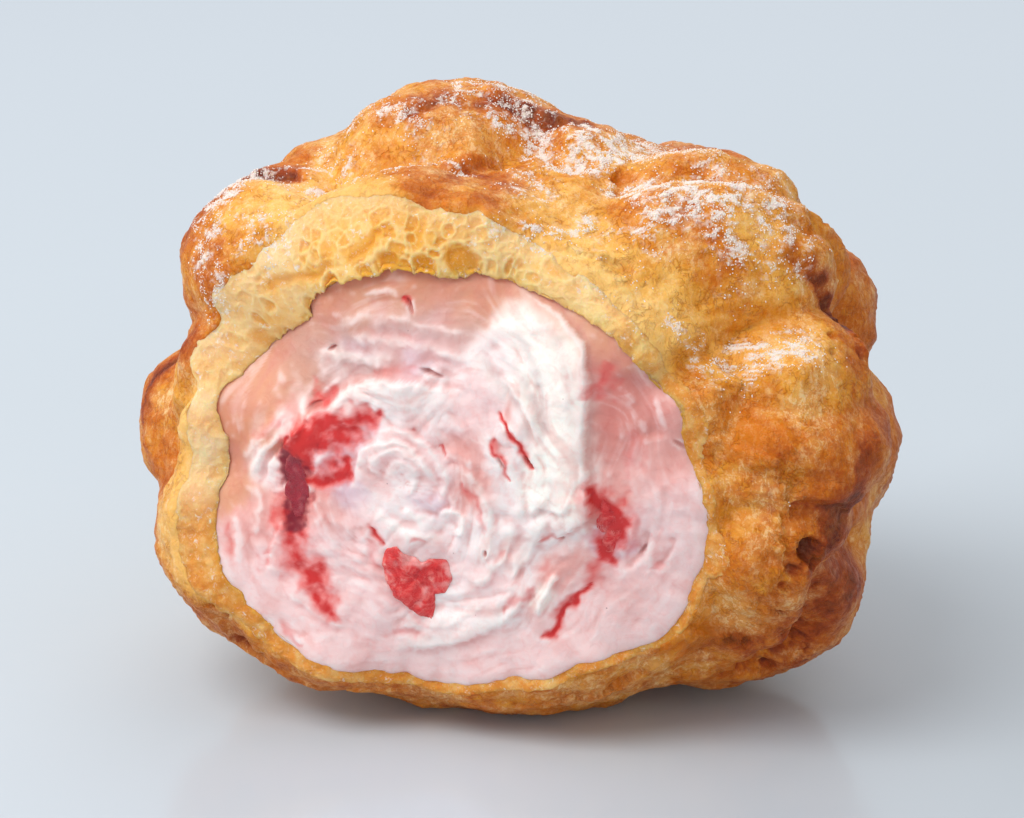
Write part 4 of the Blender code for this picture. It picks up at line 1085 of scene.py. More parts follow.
# Red juice and jam: path in millimetres, width, then how red and how dark with skins
STREAKS = [
    # the red mass at the left, with its dark core
    ([(-9.6, 6.0), (-11.0, 5.2), (-12.4, 4.6), (-14.0, 4.4)], 1.4, 0.8, 0.0),
    ([(-14.0, 4.2), (-15.8, 3.8), (-17.4, 2.8), (-18.4, 1.4), (-18.0, -0.4)], 2.2, 0.95, 0.1),
    ([(-17.6, 2.2), (-15.4, 2.4), (-13.4, 3.0), (-12.2, 3.6)], 1.9, 0.8, 0.12),
    ([(-16.6, 4.8), (-17.8, 3.4), (-19.2, 1.8)], 0.9, 0.6, 0.0),
    ([(-19.6, 2.0), (-19.4, 0.0), (-18.6, -1.6), (-17.6, -3.0)], 1.0, 0.9, 0.55),
    ([(-20.0, 0.0), (-19.6, -2.0), (-18.9, -4.4), (-19.0, -6.4), (-19.4, -7.4)], 1.7, 0.8, 1.0),
    ([(-17.4, -2.6), (-16.0, -2.3), (-14.6, -1.4), (-13.4, 0.4)], 1.3, 0.9, 0.15),
    ([(-16.8, 2.0), (-14.8, 1.2), (-13.2, 0.8)], 1.6, 0.35, 0.3),
    # its trail down the left
    ([(-20.6, -5.6), (-19.6, -8.0), (-19.4, -10.0), (-18.8, -12.0), (-17.6, -13.6)], 2.3, 0.72, 0.05),
    ([(-18.6, -11.6), (-17.2, -13.2), (-16.6, -15.0), (-15.8, -16.8), (-15.2, -18.0)], 1.7, 0.8, 0.0),
    ([(-21.8, -9.5), (-22.4, -11.6)], 0.6, 0.35, 0.0),
    # two thin streaks in the tongue
    ([(5.1, 6.3), (6.1, 4.3), (7.4, 2.2), (8.4, 1.2)], 0.5, 0.95, 0.0),
    ([(3.3, 4.2), (4.0, 2.6), (5.0, 0.8), (5.8, -0.4)], 0.42, 0.7, 0.0),
    # pink stains at the upper right
    ([(15.2, 11.4), (15.4, 10.4), (15.6, 9.6)], 1.7, 0.55, 0.0),
    ([(16.0, 8.6), (16.4, 6.0), (15.6, 3.6)], 1.6, 0.16, 0.0),
    ([(19.2, 5.4), (18.9, 3.2), (18.2, 1.0)], 1.3, 0.3, 0.0),
    # the long red streak at the right, and its end
    ([(15.0, -1.4), (16.0, -3.0), (16.8, -4.8), (16.8, -6.8), (16.3, -8.8)], 1.6, 1.0, 0.0),
    ([(14.4, -0.4), (14.4, -2.0), (14.8, -4.0), (15.6, -6.0)], 1.3, 0.45, 0.25),
    ([(18.0, -2.4), (19.0, -4.4), (18.8, -6.6), (18.2, -8.4)], 1.0, 0.42, 0.1),
    ([(15.8, -9.2), (14.9, -11.0), (13.8, -13.2)], 0.9, 0.6, 0.0),
    ([(14.2, -12.8), (12.4, -14.6), (11.6, -16.0), (10.4, -17.8), (9.2, -18.9)], 0.62, 0.9, 0.0),
    # small ones, from the middle outwards
    ([(8.4, -12.7), (7.0, -14.3), (5.3, -15.7)], 0.8, 0.42, 0.0),
    ([(1.0, -1.2), (1.8, -3.0), (2.6, -5.0)], 0.7, 0.42, 0.2), ([(2.4, -4.6), (3.0, -6.6)], 0.5, 0.35, 0.0),
    ([(-9.9, -6.6), (-9.4, -8.2), (-8.9, -9.4)], 0.5, 0.8, 0.0),
    ([(-10.4, -8.6), (-9.6, -11.4), (-8.0, -14.6), (-5.6, -17.2), (-3.6, -18.4)], 0.9, 0.3, 0.0),
    ([(-7.8, -20.0), (-5.2, -19.2)], 1.0, 0.38, 0.0), ([(-5.6, -8.6), (-4.2, -8.2)], 0.4, 0.4, 0.0),
    ([(4.0, -9.4), (4.6, -8.8)], 0.7, 0.3, 0.0), ([(21.2, -9.8), (21.4, -10.4)], 0.6, 0.35, 0.0),
    ([(9.0, -7.4), (10.2, -6.6), (11.2, -6.8)], 0.4, 0.5, 0.0),
    ([(9.6, -9.6), (8.8, -11.4)], 0.5, 0.3, 0.0),
    ([(-17.0, 6.0), (-15.6, 6.5), (-14.8, 7.2)], 0.8, 0.6, 0.1),
    ([(-6.5, 18.3), (-5.8, 17.2)], 0.4, 0.75, 0.0),
    ([(-9.4, 10.6), (-7.4, 11.0), (-5.4, 11.4)], 1.0, 0.25, 0.1),
    ([(-4.5, 4.9), (-4.4, 4.7)], 0.35, 0.4, 0.0), ([(-2.0, 2.3), (-2.0, 2.1)], 0.3, 0.6, 0.0),
    ([(-27.0, -9.0), (-26.6, -11.6)], 0.8, 0.35, 0.25), ([(-21.0, -20.0), (-18.4, -21.2)], 0.6, 0.35, 0.1),
    ([(-21.6, 3.6), (-23.6, 1.2)], 0.6, 0.35, 0.0),
    ([(-11.0, 13.6), (-8.2, 14.6), (-5.4, 14.6)], 0.7, 0.14, 0.1),
]

# Tones of the stirred cream, among them painted shade and painted light, and where each one lies: middle and
# radius in millimetres
TONES = {
    # painted shade: the cream darker and warmer under the crumb's brow and along the left rim
    "painted_brow_shade": (shade(216, 142, 112), [
        (-21.5, 15, 3.5), (-15, 18, 3), (-10, 20.4, 2.4), (-5, 21, 2.6), (-0.5, 20.8, 2.6), (4, 20.2, 2.2),
        (-27.5, 3, 3), (-27.5, -1.5, 2.6), (-25, 10.5, 3), (8.5, 19.4, 1.6),
    ]),
    # painted shade: the cream greyer and darker at the upper left, under the brow
    "painted_upper_shade": (shade(196, 156, 150), [
        (-17, 11.0, 3), (-13, 13.5, 3), (-8, 14.8, 2.5), (-20.5, 9.5, 2.5), (-15, 9.8, 2.4),
        (-4, 15.8, 2.4), (-10, 10.6, 1.6), (-19, 12.5, 2.5), (-1, 16.4, 2.0),
    ]),
    # partly the cream's own paler pink and partly painted light: paler along the bottom rim, where the light
    # falls fully
    "petal_and_painted_light": (shade(254, 215, 213), [
        (8, -21.5, 3.4), (3, -23.5, 3.4), (-3, -24.5, 3.4), (-9, -23, 3.4), (13, -19.5, 3), (-15, -21.5, 3),
        (17, -17, 3), (-20, -19, 3), (22, -13.5, 3), (-24.5, -12, 2.6), (26, -6, 3),
    ]),
    # painted light: a warm tint near the top and left rims, for light bounced off the golden crust
    "painted_warm_bounce": (shade(222, 160, 128), [
        (-25, 6, 3.4), (-22, 8.5, 3.2), (-27, -4, 2.4), (-12, 17, 2), (-7, 18, 2), (13, 17.4, 2.6),
        (17, 15, 2.4), (-18, 13.5, 2.6), (0, 17.8, 2.2), (-19.5, 9.5, 2.2),
    ]),
    "rose": (shade(217, 139, 130), [
        (17, 4, 2.4), (19, 10, 2.2), (16, 13, 2.2), (20, 7, 2), (15.6, 7, 1.8), (-8.5, 11, 1.4),
        (14.6, -2.6, 1.4),
    ]),
    "blush": (shade(237, 177, 170), [
        (22, 8, 2.8), (21, 2, 3), (18, 0, 2.4), (12, -11, 2), (-22, -7, 2), (-25, -9.5, 2.2), (-2, 17, 2),
        (24, 3, 2.6), (1.6, -2.6, 1.8), (-16, -6, 2), (0.4, 3, 1.8), (19, -14, 2),
    ]),
    "pale": (shade(249, 213, 212), [
        (25, -1, 3), (20, -5, 2), (24, -8, 3), (22, -13, 3), (18, -11, 2), (13, -15, 2), (-14, -20, 3),
        (4, -13, 2.4), (-12, -9, 3), (-13, -14, 3), (-9, -18.5, 2.6), (-22, -14, 2.6), (-18.5, -18, 2.6),
        (-15, -10, 2.6), (-4, 14, 2.6), (-9, 14.5, 2.2), (2, 9.5, 2.2), (-5, 3, 2.2), (-3, 0, 2),
        (-9, 0.5, 2.2), (0, 6, 2.2), (-20, -12, 2), (25, -4, 3), (-1.5, -11, 2.4),
    ]),
    "lilac": (shade(228, 200, 210), [
        (-15.5, 2.4, 1.5), (-13.4, 0.8, 1.8), (-12, 3, 1.4), (-6, 10.9, 1.4), (-12.6, 12.9, 1.6),
        (-4.5, 12.6, 1.4), (-13, -3, 1.6), (17, -7.4, 1.6), (-4, -3.6, 1.6),
    ]),
    "milk": (shade(252, 235, 234), [
        (-14, 8, 1.6), (-10, 8, 2.4), (-5, 8, 2.4), (-16, 10.6, 1.5), (-6, -1.2, 2.4), (-7, -5.5, 2.6),
        (3, 13, 2.6), (5, 3.4, 1.8), (9, -5.6, 2.4), (6, -8, 2.6), (6, -3.4, 2), (1, -8.5, 2.4),
        (0, -15.5, 2.6), (-23.5, -2, 1.6), (5, -16, 2.2), (-20.5, 3.6, 1.0), (-19, 6, 1.0), (-1.4, 8, 2),
        (3, -5, 1.6), (-4, -20.5, 2),
    ]),
    "ivory": (shade(252, 245, 238), [
        (6, 16, 2.4), (10, 14, 2.8), (11.6, 9, 2.4), (11.6, 4, 2.4), (11.5, -1, 2.4), (8, 10.5, 1.8),
        (9.5, -3, 1.8), (9.5, -14, 1.0),
    ]),
}
MILK, ROSE, IVORY = (np.array(TONES[tone][0]) for tone in ("milk", "rose", "ivory"))
RED = np.array(shade(230, 84, 80))
DEEP_RED = np.array(shade(208, 20, 22))
DARK = np.array(shade(122, 22, 42))
SHADOW_GREY = np.array(shade(212, 200, 200))


def on_the_face(right, up):
    """Points on the cream's face, in millimetres, for noise and paths on it."""
    return np.stack([right, up, np.zeros(len(right))], axis=1)


def beside_on_face(points, corners, steps=6):
    """Distance to a curved path on the cream's face, positive on its left, and the share of it gone there."""
    facing = np.broadcast_to([0.0, 0.0, 1.0], points.shape)
    return beside(points, smooth_path([(*corner, 0.0) for corner in corners], steps), facing)


def swirl_coordinates(right, up):
    """The distance out from the swirl's middle and the way round it, both let wander."""
    drift = wander(on_the_face(right, up), 7, seed=71)
    x, y = right - SWIRL_MIDDLE[0] + 3.2 * drift[:, 0], up - SWIRL_MIDDLE[1] + 3.2 * drift[:, 1]
    return np.hypot(x, y), np.arctan2(y, x)


def swept(right, up, length, thickness, seed, octaves=3):
    """Noise drawn out into streaks that follow the swirl round, of about this length and thickness in mm."""
    out, around = swirl_coordinates(right, up)
    lead = around + 0.05 * out
    turn = (2 + out / 12) * 10 / length
    drawn = np.stack([out / thickness, turn * np.cos(lead), turn * np.sin(lead)], axis=1)
    return rumple(drawn, 1.0, seed=seed, octaves=octaves)


def taper(along):
    """1 along a stroke, and down to about 0 at both its ends."""
    return ramp(along, -0.02, 0.18) * ramp(-along, -1.02, -0.82)


def two_sided(away, left_width, right_width):
    """1 on a path, fading over one width on its left and over another on its right."""
    return np.exp(-((away / np.where(away > 0, left_width, right_width)) ** 2))


def stroke_relief(right, up):
    """Height of the strokes, and how white they leave the cream."""
    here = on_the_face(right, up)
    ragged = 0.34 * rumple(here, 2.0, seed=72, octaves=2) + 0.07 * rumple(here, 0.6, seed=73, octaves=2)
    height, white = np.zeros(len(right)), np.zeros(len(right))
    for corners, proud, fade, steep, whiteness in STROKES:
        away, along = beside_on_face(here, corners)
        away = away + ragged
        height += 0.8 * proud * taper(along) * two_sided(away, steep, fade)
        white = np.maximum(white, whiteness * taper(along) * two_sided(away, 0.7 * steep, 0.75 * fade))
    return height, white


def slit_depth(right, up):
    """How deep, 0 to 1, the slits and holes between the folds are."""
    depth = np.zeros(len(right))
    for x, y, half_long, half_wide, turn in SLITS:
        c, s = math.cos(math.radians(turn)), math.sin(math.radians(turn))
        dx, dy = right - x, up - y
        away = np.hypot((c * dx + s * dy) / half_long, (-s * dx + c * dy) / half_wide)
        depth += ramp(-away, -1.3, -0.4)
    return np.clip(depth, 0, 1)


def juice(right, up):
    """How red with juice and how dark with skins the cream is."""
    here = on_the_face(right, up)
    bend = wander(here, 2.8, seed=74) * 1.2 + wander(here, 1.1, seed=75) * 0.45
    blotchy = 1 + 0.55 * rumple(here, 1.5, seed=76)
    here = here + bend * np.array([1, 1, 0])
    red, dark = np.zeros(len(right)), np.zeros(len(right))
    for corners, width, redness, darkness in STREAKS:
        away, along = beside_on_face(here, corners, steps=4)
        away = np.abs(away) / (width * (0.55 + 0.45 * taper(along)))
        core = np.exp(-((away * blotchy) ** 2) * 0.9)
        halo = 0.34 * np.exp(-away / 1.3)
        red = np.maximum(red, redness * (0.85 * core + halo))
        dark = np.maximum(dark, darkness * core)
    return red, dark


def cream_edge(clock):
    """Where the cream's face meets the bun: sunk into the mouth above, spilling over its edge below."""
    sunk = by_the_clock(CREAM_SUNK, clock) / HOLLOW_LENGTH
    edge = hollow_point(clock, sunk, inset=-0.3 * MM)
    around = on_a_circle(clock)
    scallop = 1 + 0.9 * rumple(around, 0.16, seed=77, octaves=1)
    scallop += 0.5 * rumple(around, 0.06, seed=78, octaves=1)
    spill = by_the_clock(SPILL, clock) * MM * np.clip(scallop, 0.1, 2.2)
    radius = np.hypot(edge @ RIGHTWARD, edge @ UPWARD) + spill
    front = edge @ OUTWARD + 0.35 * spill + 0.35 * MM * ramp(spill, 0.1 * MM, 0.6 * MM)
    return in_tear_axes(clock, radius, front), sunk, spill


def laid(under, over, amount):
    return under * (1 - amount[:, None]) + over * amount[:, None]


# The cream's mesh is a square grid over its face, drawn round, with rings from its rim back to the far end.
# Share runs from 0 in the middle of the face over 1 at the rim to 2 there.
side = np.linspace(-1, 1, CREAM_CELLS + 1)
x, y = (values.ravel() for values in np.meshgrid(side, side, indexing="ij"))
index = np.arange((CREAM_CELLS + 1) ** 2).reshape(CREAM_CELLS + 1, CREAM_CELLS + 1)
faces = np.stack([index[:-1, :-1], index[1:, :-1], index[1:, 1:], index[:-1, 1:]], axis=2)
faces = faces.reshape(-1, 4).tolist()
rim = np.concatenate([index[:-1, 0], index[-1, :-1], index[:0:-1, -1], index[0, :0:-1]])
rim_x, rim_y = x[rim], y[rim]
share = np.maximum(np.abs(x), np.abs(y))
inner = rim
for ring in range(1, BACK_RINGS):
    outer = len(x) + np.arange(len(rim))
    faces += np.stack([np.roll(inner, -1), inner, outer, np.roll(outer, -1)], axis=1).tolist()
    x, y = np.concatenate([x, rim_x]), np.concatenate([y, rim_y])
    share = np.concatenate([share, np.full(len(rim), 1 + ring / BACK_RINGS)])
    inner = outer
faces += np.stack([np.roll(inner, -1), inner, 0 * inner + len(x)], axis=1).tolist()
x, y, share = np.append(x, 1.0), np.append(y, 0.0), np.append(share, 2.0)
eighth = math.pi / 4
with np.errstate(divide="ignore", invalid="ignore"):
    from_the_sides = np.where(x < 0, 4 * eighth, 0) + eighth * y / x
    from_above_and_below = np.sign(y) * 2 * eighth - eighth * x / y
    clock = np.nan_to_num(np.where(np.abs(x) >= np.abs(y), from_the_sides, from_above_and_below))

# The middle of the face follows a smoothed rim, and only its border the ragged one
around = np.arange(720) / 720 * 2 * math.pi
ragged_edge, _, ragged_spill = cream_edge(around)
window = np.hanning(61) / np.hanning(61).sum()
radii = np.hypot(ragged_edge @ RIGHTWARD, ragged_edge @ UPWARD) - ragged_spill
fronts = ragged_edge @ OUTWARD
even_radii = np.convolve(np.tile(radii, 3), window, mode="same")[720:1440]
even_fronts = np.convolve(np.tile(fronts, 3), window, mode="same")[720:1440]

face = share <= 1 + 1e-6
edge, _, spill = cream_edge(clock[face])
out = share[face]
border = ramp(out, 0.80, 1.0)
turn = np.mod(clock[face], 2 * math.pi)
even_radius = np.interp(turn, around, even_radii, period=2 * math.pi)
even_front = np.interp(turn, around, even_fronts, period=2 * math.pi)
radius = (even_radius + (np.hypot(edge @ RIGHTWARD, edge @ UPWARD) - even_radius) * border) * out
rim_front = even_front + (edge @ OUTWARD - even_front) * border
right, up = radius * np.cos(clock[face]) / MM, radius * np.sin(clock[face]) / MM
here = on_the_face(right, up)

strokes, white = stroke_relief(right, up)
red, dark = juice(right, up)
slits = slit_depth(right, up)
furrow = np.zeros(len(right))
for corners, width, grey in GROOVES:
    away, along = beside_on_face(here, corners)
    furrow = np.maximum(furrow, grey * taper(along) * np.exp(-((away / width) ** 2)))
stirred = ramp(-np.hypot((right + 2) / 17, (up + 3) / 18), -1.12, -0.82)  # the middle, and not the smooth rim
off_middle = ramp(np.hypot(right - SWIRL_MIDDLE[0], up - SWIRL_MIDDLE[1]), 2, 7)
billows = np.abs(swept(right, up, 9, 2.6, seed=79, octaves=1))
billows += 0.25 * np.abs(swept(right, up, 5, 1.2, seed=80, octaves=1))
streaky = swept(right, up, 13, 1.5, seed=86)
height = strokes + 0.42 * billows * (0.4 + 0.6 * stirred) * (0.3 + 0.7 * off_middle) + 0.08 * streaky
height += 0.36 * rumple(here, 5, seed=81) + 0.15 * rumple(here, 2.2, seed=87, octaves=2)
height += 0.03 * rumple(here, 0.9, seed=82)
height -= 0.6 * slits + 0.30 * np.clip(red, 0, 1) + 0.25 * dark + 0.30 * furrow
rounding = 1.1 * (1 - np.sqrt(1 - np.clip((out - 0.94) / 0.06, 0, 1) ** 2))
plain = CREAM_FRONT + (rim_front - CREAM_FRONT) * out**2
front = plain + (height * (1 - out**8) - rounding * (0.15 + 0.85 * ramp(spill, 0, MM))) * MM

points = np.empty((len(share), 3))
points[face] = in_tear_axes(clock[face], radius, front)
edge, sunk, spill = cream_edge(clock[~face])
back = np.clip(share[~face] - 1, 0, 1)
behind = hollow_point(clock[~face], sunk + (1 - sunk) * back**1.6, inset=GAP, slack=SLACK)
under = ramp(back, 0, 0.25)[:, None]
points[~face] = (edge - 0.9 * MM * OUTWARD) * (1 - under) + behind * under

# Painted light and shade: the ridges are painted whiter and the folds between them pinker and darker
square = height.reshape(CREAM_CELLS + 1, CREAM_CELLS + 1)
blur = np.hanning(15) / np.hanning(15).sum()
smoothed = np.apply_along_axis(np.convolve, 0, np.pad(square, 7, mode="edge"), blur, mode="valid")
smoothed = np.apply_along_axis(np.convolve, 1, smoothed, blur, mode="valid")
ridge_light_and_shade = (square - smoothed).ravel()

bent = here + 1.3 * wander(here, 3.2, seed=88) + 0.5 * wander(here, 1.1, seed=89)
total = np.zeros((len(here), 4))
weights = np.full(len(here), 1e-6)
for tone, places in TONES.values():
    for x, y, radius in places:
        weight = np.exp(-((bent[:, 0] - x) ** 2 + (bent[:, 1] - y) ** 2) / radius**2)
        total += weight[:, None] * np.array(tone)
        weights += weight
colour = total / weights[:, None]
fine_streaks = swept(right, up, 5, 0.7, seed=84)
colour = laid(colour, MILK, ramp(streaky + 0.4 * fine_streaks, 0.05, 0.8) * (0.25 + 0.2 * stirred))
colour = laid(colour, ROSE, ramp(-streaky + 0.4 * fine_streaks, 0.15, 0.9) * (0.26 + 0.16 * stirred))
colour = laid(colour, ROSE, 0.24 * ramp(rumple(here, 3.4, seed=91), 0.05, 0.6))
colour = laid(colour, MILK, 0.5 * ramp(ridge_light_and_shade, 0.01, 0.15))
colour = laid(colour, ROSE, 0.38 * ramp(-ridge_light_and_shade, 0.01, 0.18))
colour = laid(colour, IVORY, 0.6 * white)
red = np.clip(red * (1 + 0.35 * rumple(here, 1.2, seed=90)), 0, 1)
colour = laid(colour, RED, 0.8 * ramp(red, 0.05, 0.8))
colour = laid(colour, DEEP_RED, 0.85 * ramp(red, 0.68, 1.0))
dark_flecks = dark + 0.35 * rumple(here, 1.0, seed=85) * (dark > 0.02)
colour = laid(colour, DARK, 0.9 * ramp(dark_flecks, 0.25, 0.95))
# painted shade along the tongue's grooves
colour = laid(colour, SHADOW_GREY, 0.65 * furrow)
# painted shade: the slits and holes darkened
colour = laid(colour, ROSE * 0.75, 0.5 * slits)
all_colour = np.broadcast_to(ROSE, (len(share), 4)).copy()
all_colour[face] = colour
wet = np.zeros(len(share))
wet[face] = np.clip(red + dark, 0, 1)

cream_finish, tree, shader, where = new_material("marbled_strawberry_cream")
swirled = put(tree, "ShaderNodeAttribute", {"attribute_name": "marbling_and_painted_light"}).outputs["Color"]
cloudy = grain(tree, where, 0.9, detail=4.0, roughness=0.6, warp=1.0)
curdle = grain(tree, where, 3.0, roughness=0.6)
deeper = blend_colours(tree, 1.0, swirled, shade(246, 208, 206), blend="MULTIPLY")
cream_colour = blend_colours(tree, spread(tree, cloudy, 0.5, 0.72, 0.0, 0.30), swirled, deeper)
seeds = put(tree, "ShaderNodeTexVoronoi", Vector=where, Scale=0.42 / MM)
seed_shape = spread(tree, seeds.outputs["Distance"], 0.05, 0.02)
chance = put(tree, "ShaderNodeSeparateColor", Color=seeds.outputs["Color"]).outputs[0]
seedy = times(tree, seed_shape, sums(tree, "GREATER_THAN", chance, 0.8))
curds = sums(tree, "MULTIPLY_ADD", curdle, 0.25, cloudy)
feed(
    tree, shader,
    Base_Color=blend_colours(tree, times(tree, seedy, 0.6), cream_colour, shade(130, 60, 64)),
    Roughness=spread(tree, read(tree, "wet"), 0.2, 0.9, 0.45, 0.22),
    Normal=put(tree, "ShaderNodeBump", Height=curds, Distance=0.22 * MM, Strength=0.4).outputs[0],
    Subsurface_Weight=0.45, Subsurface_Radius=(1.0, 0.55, 0.5), Subsurface_Scale=2.0 * MM,
    Specular_IOR_Level=0.3,
)

cream = closed_piece("whipped_cream", points + HEART, faces, {"wet": wet}, cream_finish)
# the stirred cream's colours, with painted shade and painted light among them
marbling_and_painted_light = cream.data.attributes.new("marbling_and_painted_light", "FLOAT_COLOR", "POINT")
marbling_and_painted_light.data.foreach_set("color", all_colour.astype(np.float32).ravel())
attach(cream, "root")
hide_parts("cream_filling")


# ---- The strawberry pieces ----
# Diced ripe strawberry in the cream: a wet folded piece below the swirl's middle, a dark one with its skin
# on at the left and a long thin one at the right. Each is sunk in the cream, with a little of it on top.

# Each piece's outline in millimetres from the tear's axis, then how proud it is in millimetres, how dark
# with skin, and a seed
FRUIT = {
    "strawberry_heart": ("strawberry_heart_piece", [
        (-9.0, -11.2), (-8.5, -9.5), (-7.4, -9.1), (-5.9, -10.4), (-4.4, -10.9), (-3.0, -10.5),
        (-1.8, -10.8), (-1.1, -12.6), (-1.9, -14.6), (-3.1, -14.8), (-3.2, -15.9), (-3.2, -17.9),
        (-4.8, -17.6), (-6.4, -16.5), (-7.8, -14.8), (-8.7, -13.0),
    ], 0.5, 0.0, 3),
    "strawberry_left": ("strawberry_left_piece", [
        (-19.6, 0.6), (-18.6, -0.4), (-18.0, -2.4), (-17.8, -4.6), (-18.4, -6.6), (-19.2, -7.0),
        (-19.8, -5.4), (-20.0, -3.0), (-20.2, -0.8),
    ], 0.12, 1.0, 11),
    "strawberry_right": ("strawberry_right_piece", [
        (15.8, -2.0), (16.6, -3.4), (17.3, -5.2), (17.2, -7.2), (16.7, -8.8), (16.0, -8.4),
        (15.9, -6.2), (15.5, -4.0),
    ], 0.03, 0.1, 23),
}
FRUIT_THICKNESS = 2.6  # in millimetres, as all of a fruit's measures are until it is placed
FRUIT_ROWS, FRUIT_SEGMENTS = 44, 96

fruit_finish, tree, shader, where = new_material("ripe_strawberry")
flesh = grain(tree, where, 0.55, detail=4.0, roughness=0.6, warp=1.5)
grit = grain(tree, where, 2.6)
fruit_colour = colour_steps(tree, flesh, [
    (0.30, shade(200, 22, 26)), (0.48, shade(220, 48, 48)), (0.62, shade(234, 104, 98)),
    (0.76, shade(248, 176, 166)),
])
dark_skin = blend_colours(tree, flesh, shade(110, 16, 36), shade(186, 44, 60))
fruit_colour = blend_colours(tree, read(tree, "skin"), fruit_colour, dark_skin)
pulp = sums(tree, "MULTIPLY_ADD", grit, 0.5, flesh)
feed(
    tree, shader,
    Base_Color=blend_colours(tree, read(tree, "creamed"), fruit_colour, shade(244, 186, 182)),
    Roughness=spread(tree, grit, 0.3, 0.7, 0.18, 0.38),
    Normal=put(tree, "ShaderNodeBump", Height=pulp, Distance=0.18 * MM, Strength=0.5).outputs[0],
    Subsurface_Weight=0.35, Subsurface_Radius=(1.0, 0.2, 0.15), Subsurface_Scale=1.2 * MM,
)

# Each piece is a ball squashed to its outline, and its rim follows the cream's face
face_right, face_up, face_front = right, up, front / MM
polar = np.repeat(np.arange(1, FRUIT_ROWS) / FRUIT_ROWS * math.pi, FRUIT_SEGMENTS)
turned = np.tile(np.arange(FRUIT_SEGMENTS) / FRUIT_SEGMENTS * 2 * math.pi, FRUIT_ROWS - 1)
polar, turned = np.concatenate([[0], polar, [math.pi]]), np.concatenate([[0], turned, [0]])
for name, (node, corners, proud, skin, seed) in FRUIT.items():
    outline = np.array(corners)
    middle = outline.mean(axis=0)
    spokes = outline - middle
    lengths = np.hypot(*spokes.T)
    angles = np.arctan2(spokes[:, 1], spokes[:, 0])
    order = np.argsort(angles)
    flat_out = np.sin(polar) * np.interp(turned, angles[order], lengths[order], period=2 * math.pi)
    fruit_right, fruit_up = middle[0] + flat_out * np.cos(turned), middle[1] + flat_out * np.sin(turned)
    spot = on_the_face(fruit_right, fruit_up)
    fruit_right += 0.22 * rumple(spot, 1.2, seed=seed)
    fruit_up += 0.22 * rumple(spot, 1.2, seed=seed + 1)
    near = np.hypot(face_right - middle[0], face_up - middle[1]) < lengths.max() + 1
    gaps = (fruit_right[:, None] - face_right[near]) ** 2 + (fruit_up[:, None] - face_up[near]) ** 2
    level = face_front[near][gaps.argmin(axis=1)]
    crown = np.cos(polar)
    folds = 0.55 * rumple(spot, 2.6, seed=seed + 2, octaves=2)
    rise = proud * (1.5 * np.sqrt(crown.clip(0)) - 0.5) + folds * np.sqrt(crown.clip(0)) * (0.15 + proud)
    fruit_front = level + np.where(crown > 0, rise, crown * FRUIT_THICKNESS - 0.5 * proud)
    place = np.stack([fruit_right, fruit_up, fruit_front], axis=1) @ [RIGHTWARD, UPWARD, OUTWARD] * MM + HEART
    smears = ramp(rumple(spot, 2.4, seed=seed + 5), 0.15, 0.6)
    edging = 1 - ramp(crown, 0.05, 0.30 if proud > 0.5 else 0.75)
    values = {
        "skin": skin * (0.7 + 0.3 * ramp(crown, 0.1, 0.5)),
        "creamed": (0.5 * smears + 0.1 * edging) * (crown > 0) if proud > 0.3 else 0.12 * smears,
    }
    piece = closed_piece(name, place, ball_faces(FRUIT_ROWS - 1, FRUIT_SEGMENTS), values, fruit_finish)
    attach(piece, "root")
    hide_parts(node)


# ---- Icing sugar ----
# Sieved over the bun when it was filled. It clings in clumps to whatever faces up: the cap, the right dome,
# the left shoulder and the lips of the folds, as separate grains on the film of dust in the skin's finish.

GRAIN_RADIUS = 0.1 * MM
GRAINS_TO_A_SQUARE_METRE = 2.4e7  # where the sugar lies thickest

sugar_finish, tree, shader, where = new_material("icing_sugar")
feed(
    tree, shader,
    Base_Color=blend_colours(tree, grain(tree, where, 1.5), shade(246, 238, 232), shade(236, 224, 216)),
    Roughness=0.75,
)

sieved = bpy.data.node_groups.new("sieved_sugar", "GeometryNodeTree")
for name, kind in (
    ("Crust", "NodeSocketObject"),
    ("Crumb", "NodeSocketObject"),
    ("Grain Radius", "NodeSocketFloat"),
    ("Density", "NodeSocketFloat"),
    ("Seed", "NodeSocketInt"),
):
    sieved.interface.new_socket(name=name, in_out="INPUT", socket_type=kind)
sieved.interface.new_socket(name="Sugar", in_out="OUTPUT", socket_type="NodeSocketGeometry")
start, end = sieved.nodes.new("NodeGroupInput"), sieved.nodes.new("NodeGroupOutput")
surfaces = sieved.nodes.new("GeometryNodeJoinGeometry")
for source in ("Crust", "Crumb"):
    info = put(sieved, "GeometryNodeObjectInfo", Object=start.outputs[source])
    sieved.links.new(info.outputs["Geometry"], surfaces.inputs[0])
amount = put(sieved, "GeometryNodeInputNamedAttribute", {"data_type": "FLOAT"}, Name="sugar").outputs[0]
position = sieved.nodes.new("GeometryNodeInputPosition").outputs[0]
clumps = grain(sieved, position, 1.1, roughness=0.7)
clumped = spread(sieved, sums(sieved, "MULTIPLY_ADD", amount, 0.22, clumps), 0.56, 0.74)
often = times(sieved, times(sieved, amount, clumped), start.outputs["Density"])
scatter = put(
    sieved, "GeometryNodeDistributePointsOnFaces", {"distribute_method": "RANDOM"},
    Mesh=surfaces.outputs[0], Density=often, Seed=start.outputs["Seed"],
)
sugar_grain = put(sieved, "GeometryNodeMeshIcoSphere", Radius=start.outputs["Grain Radius"], Subdivisions=1)
vectors = {"data_type": "FLOAT_VECTOR"}
turns = put(sieved, "FunctionNodeRandomValue", vectors, i0=(0, 0, 0), i1=(6.3, 6.3, 6.3))
sizes = put(sieved, "FunctionNodeRandomValue", vectors, i0=(0.5, 0.5, 0.4), i1=(1.5, 1.4, 1.1))
placed = put(
    sieved, "GeometryNodeInstanceOnPoints", Points=scatter.outputs[0], Instance=sugar_grain.outputs[0],
    Rotation=turns.outputs[0], Scale=sizes.outputs[0],
)
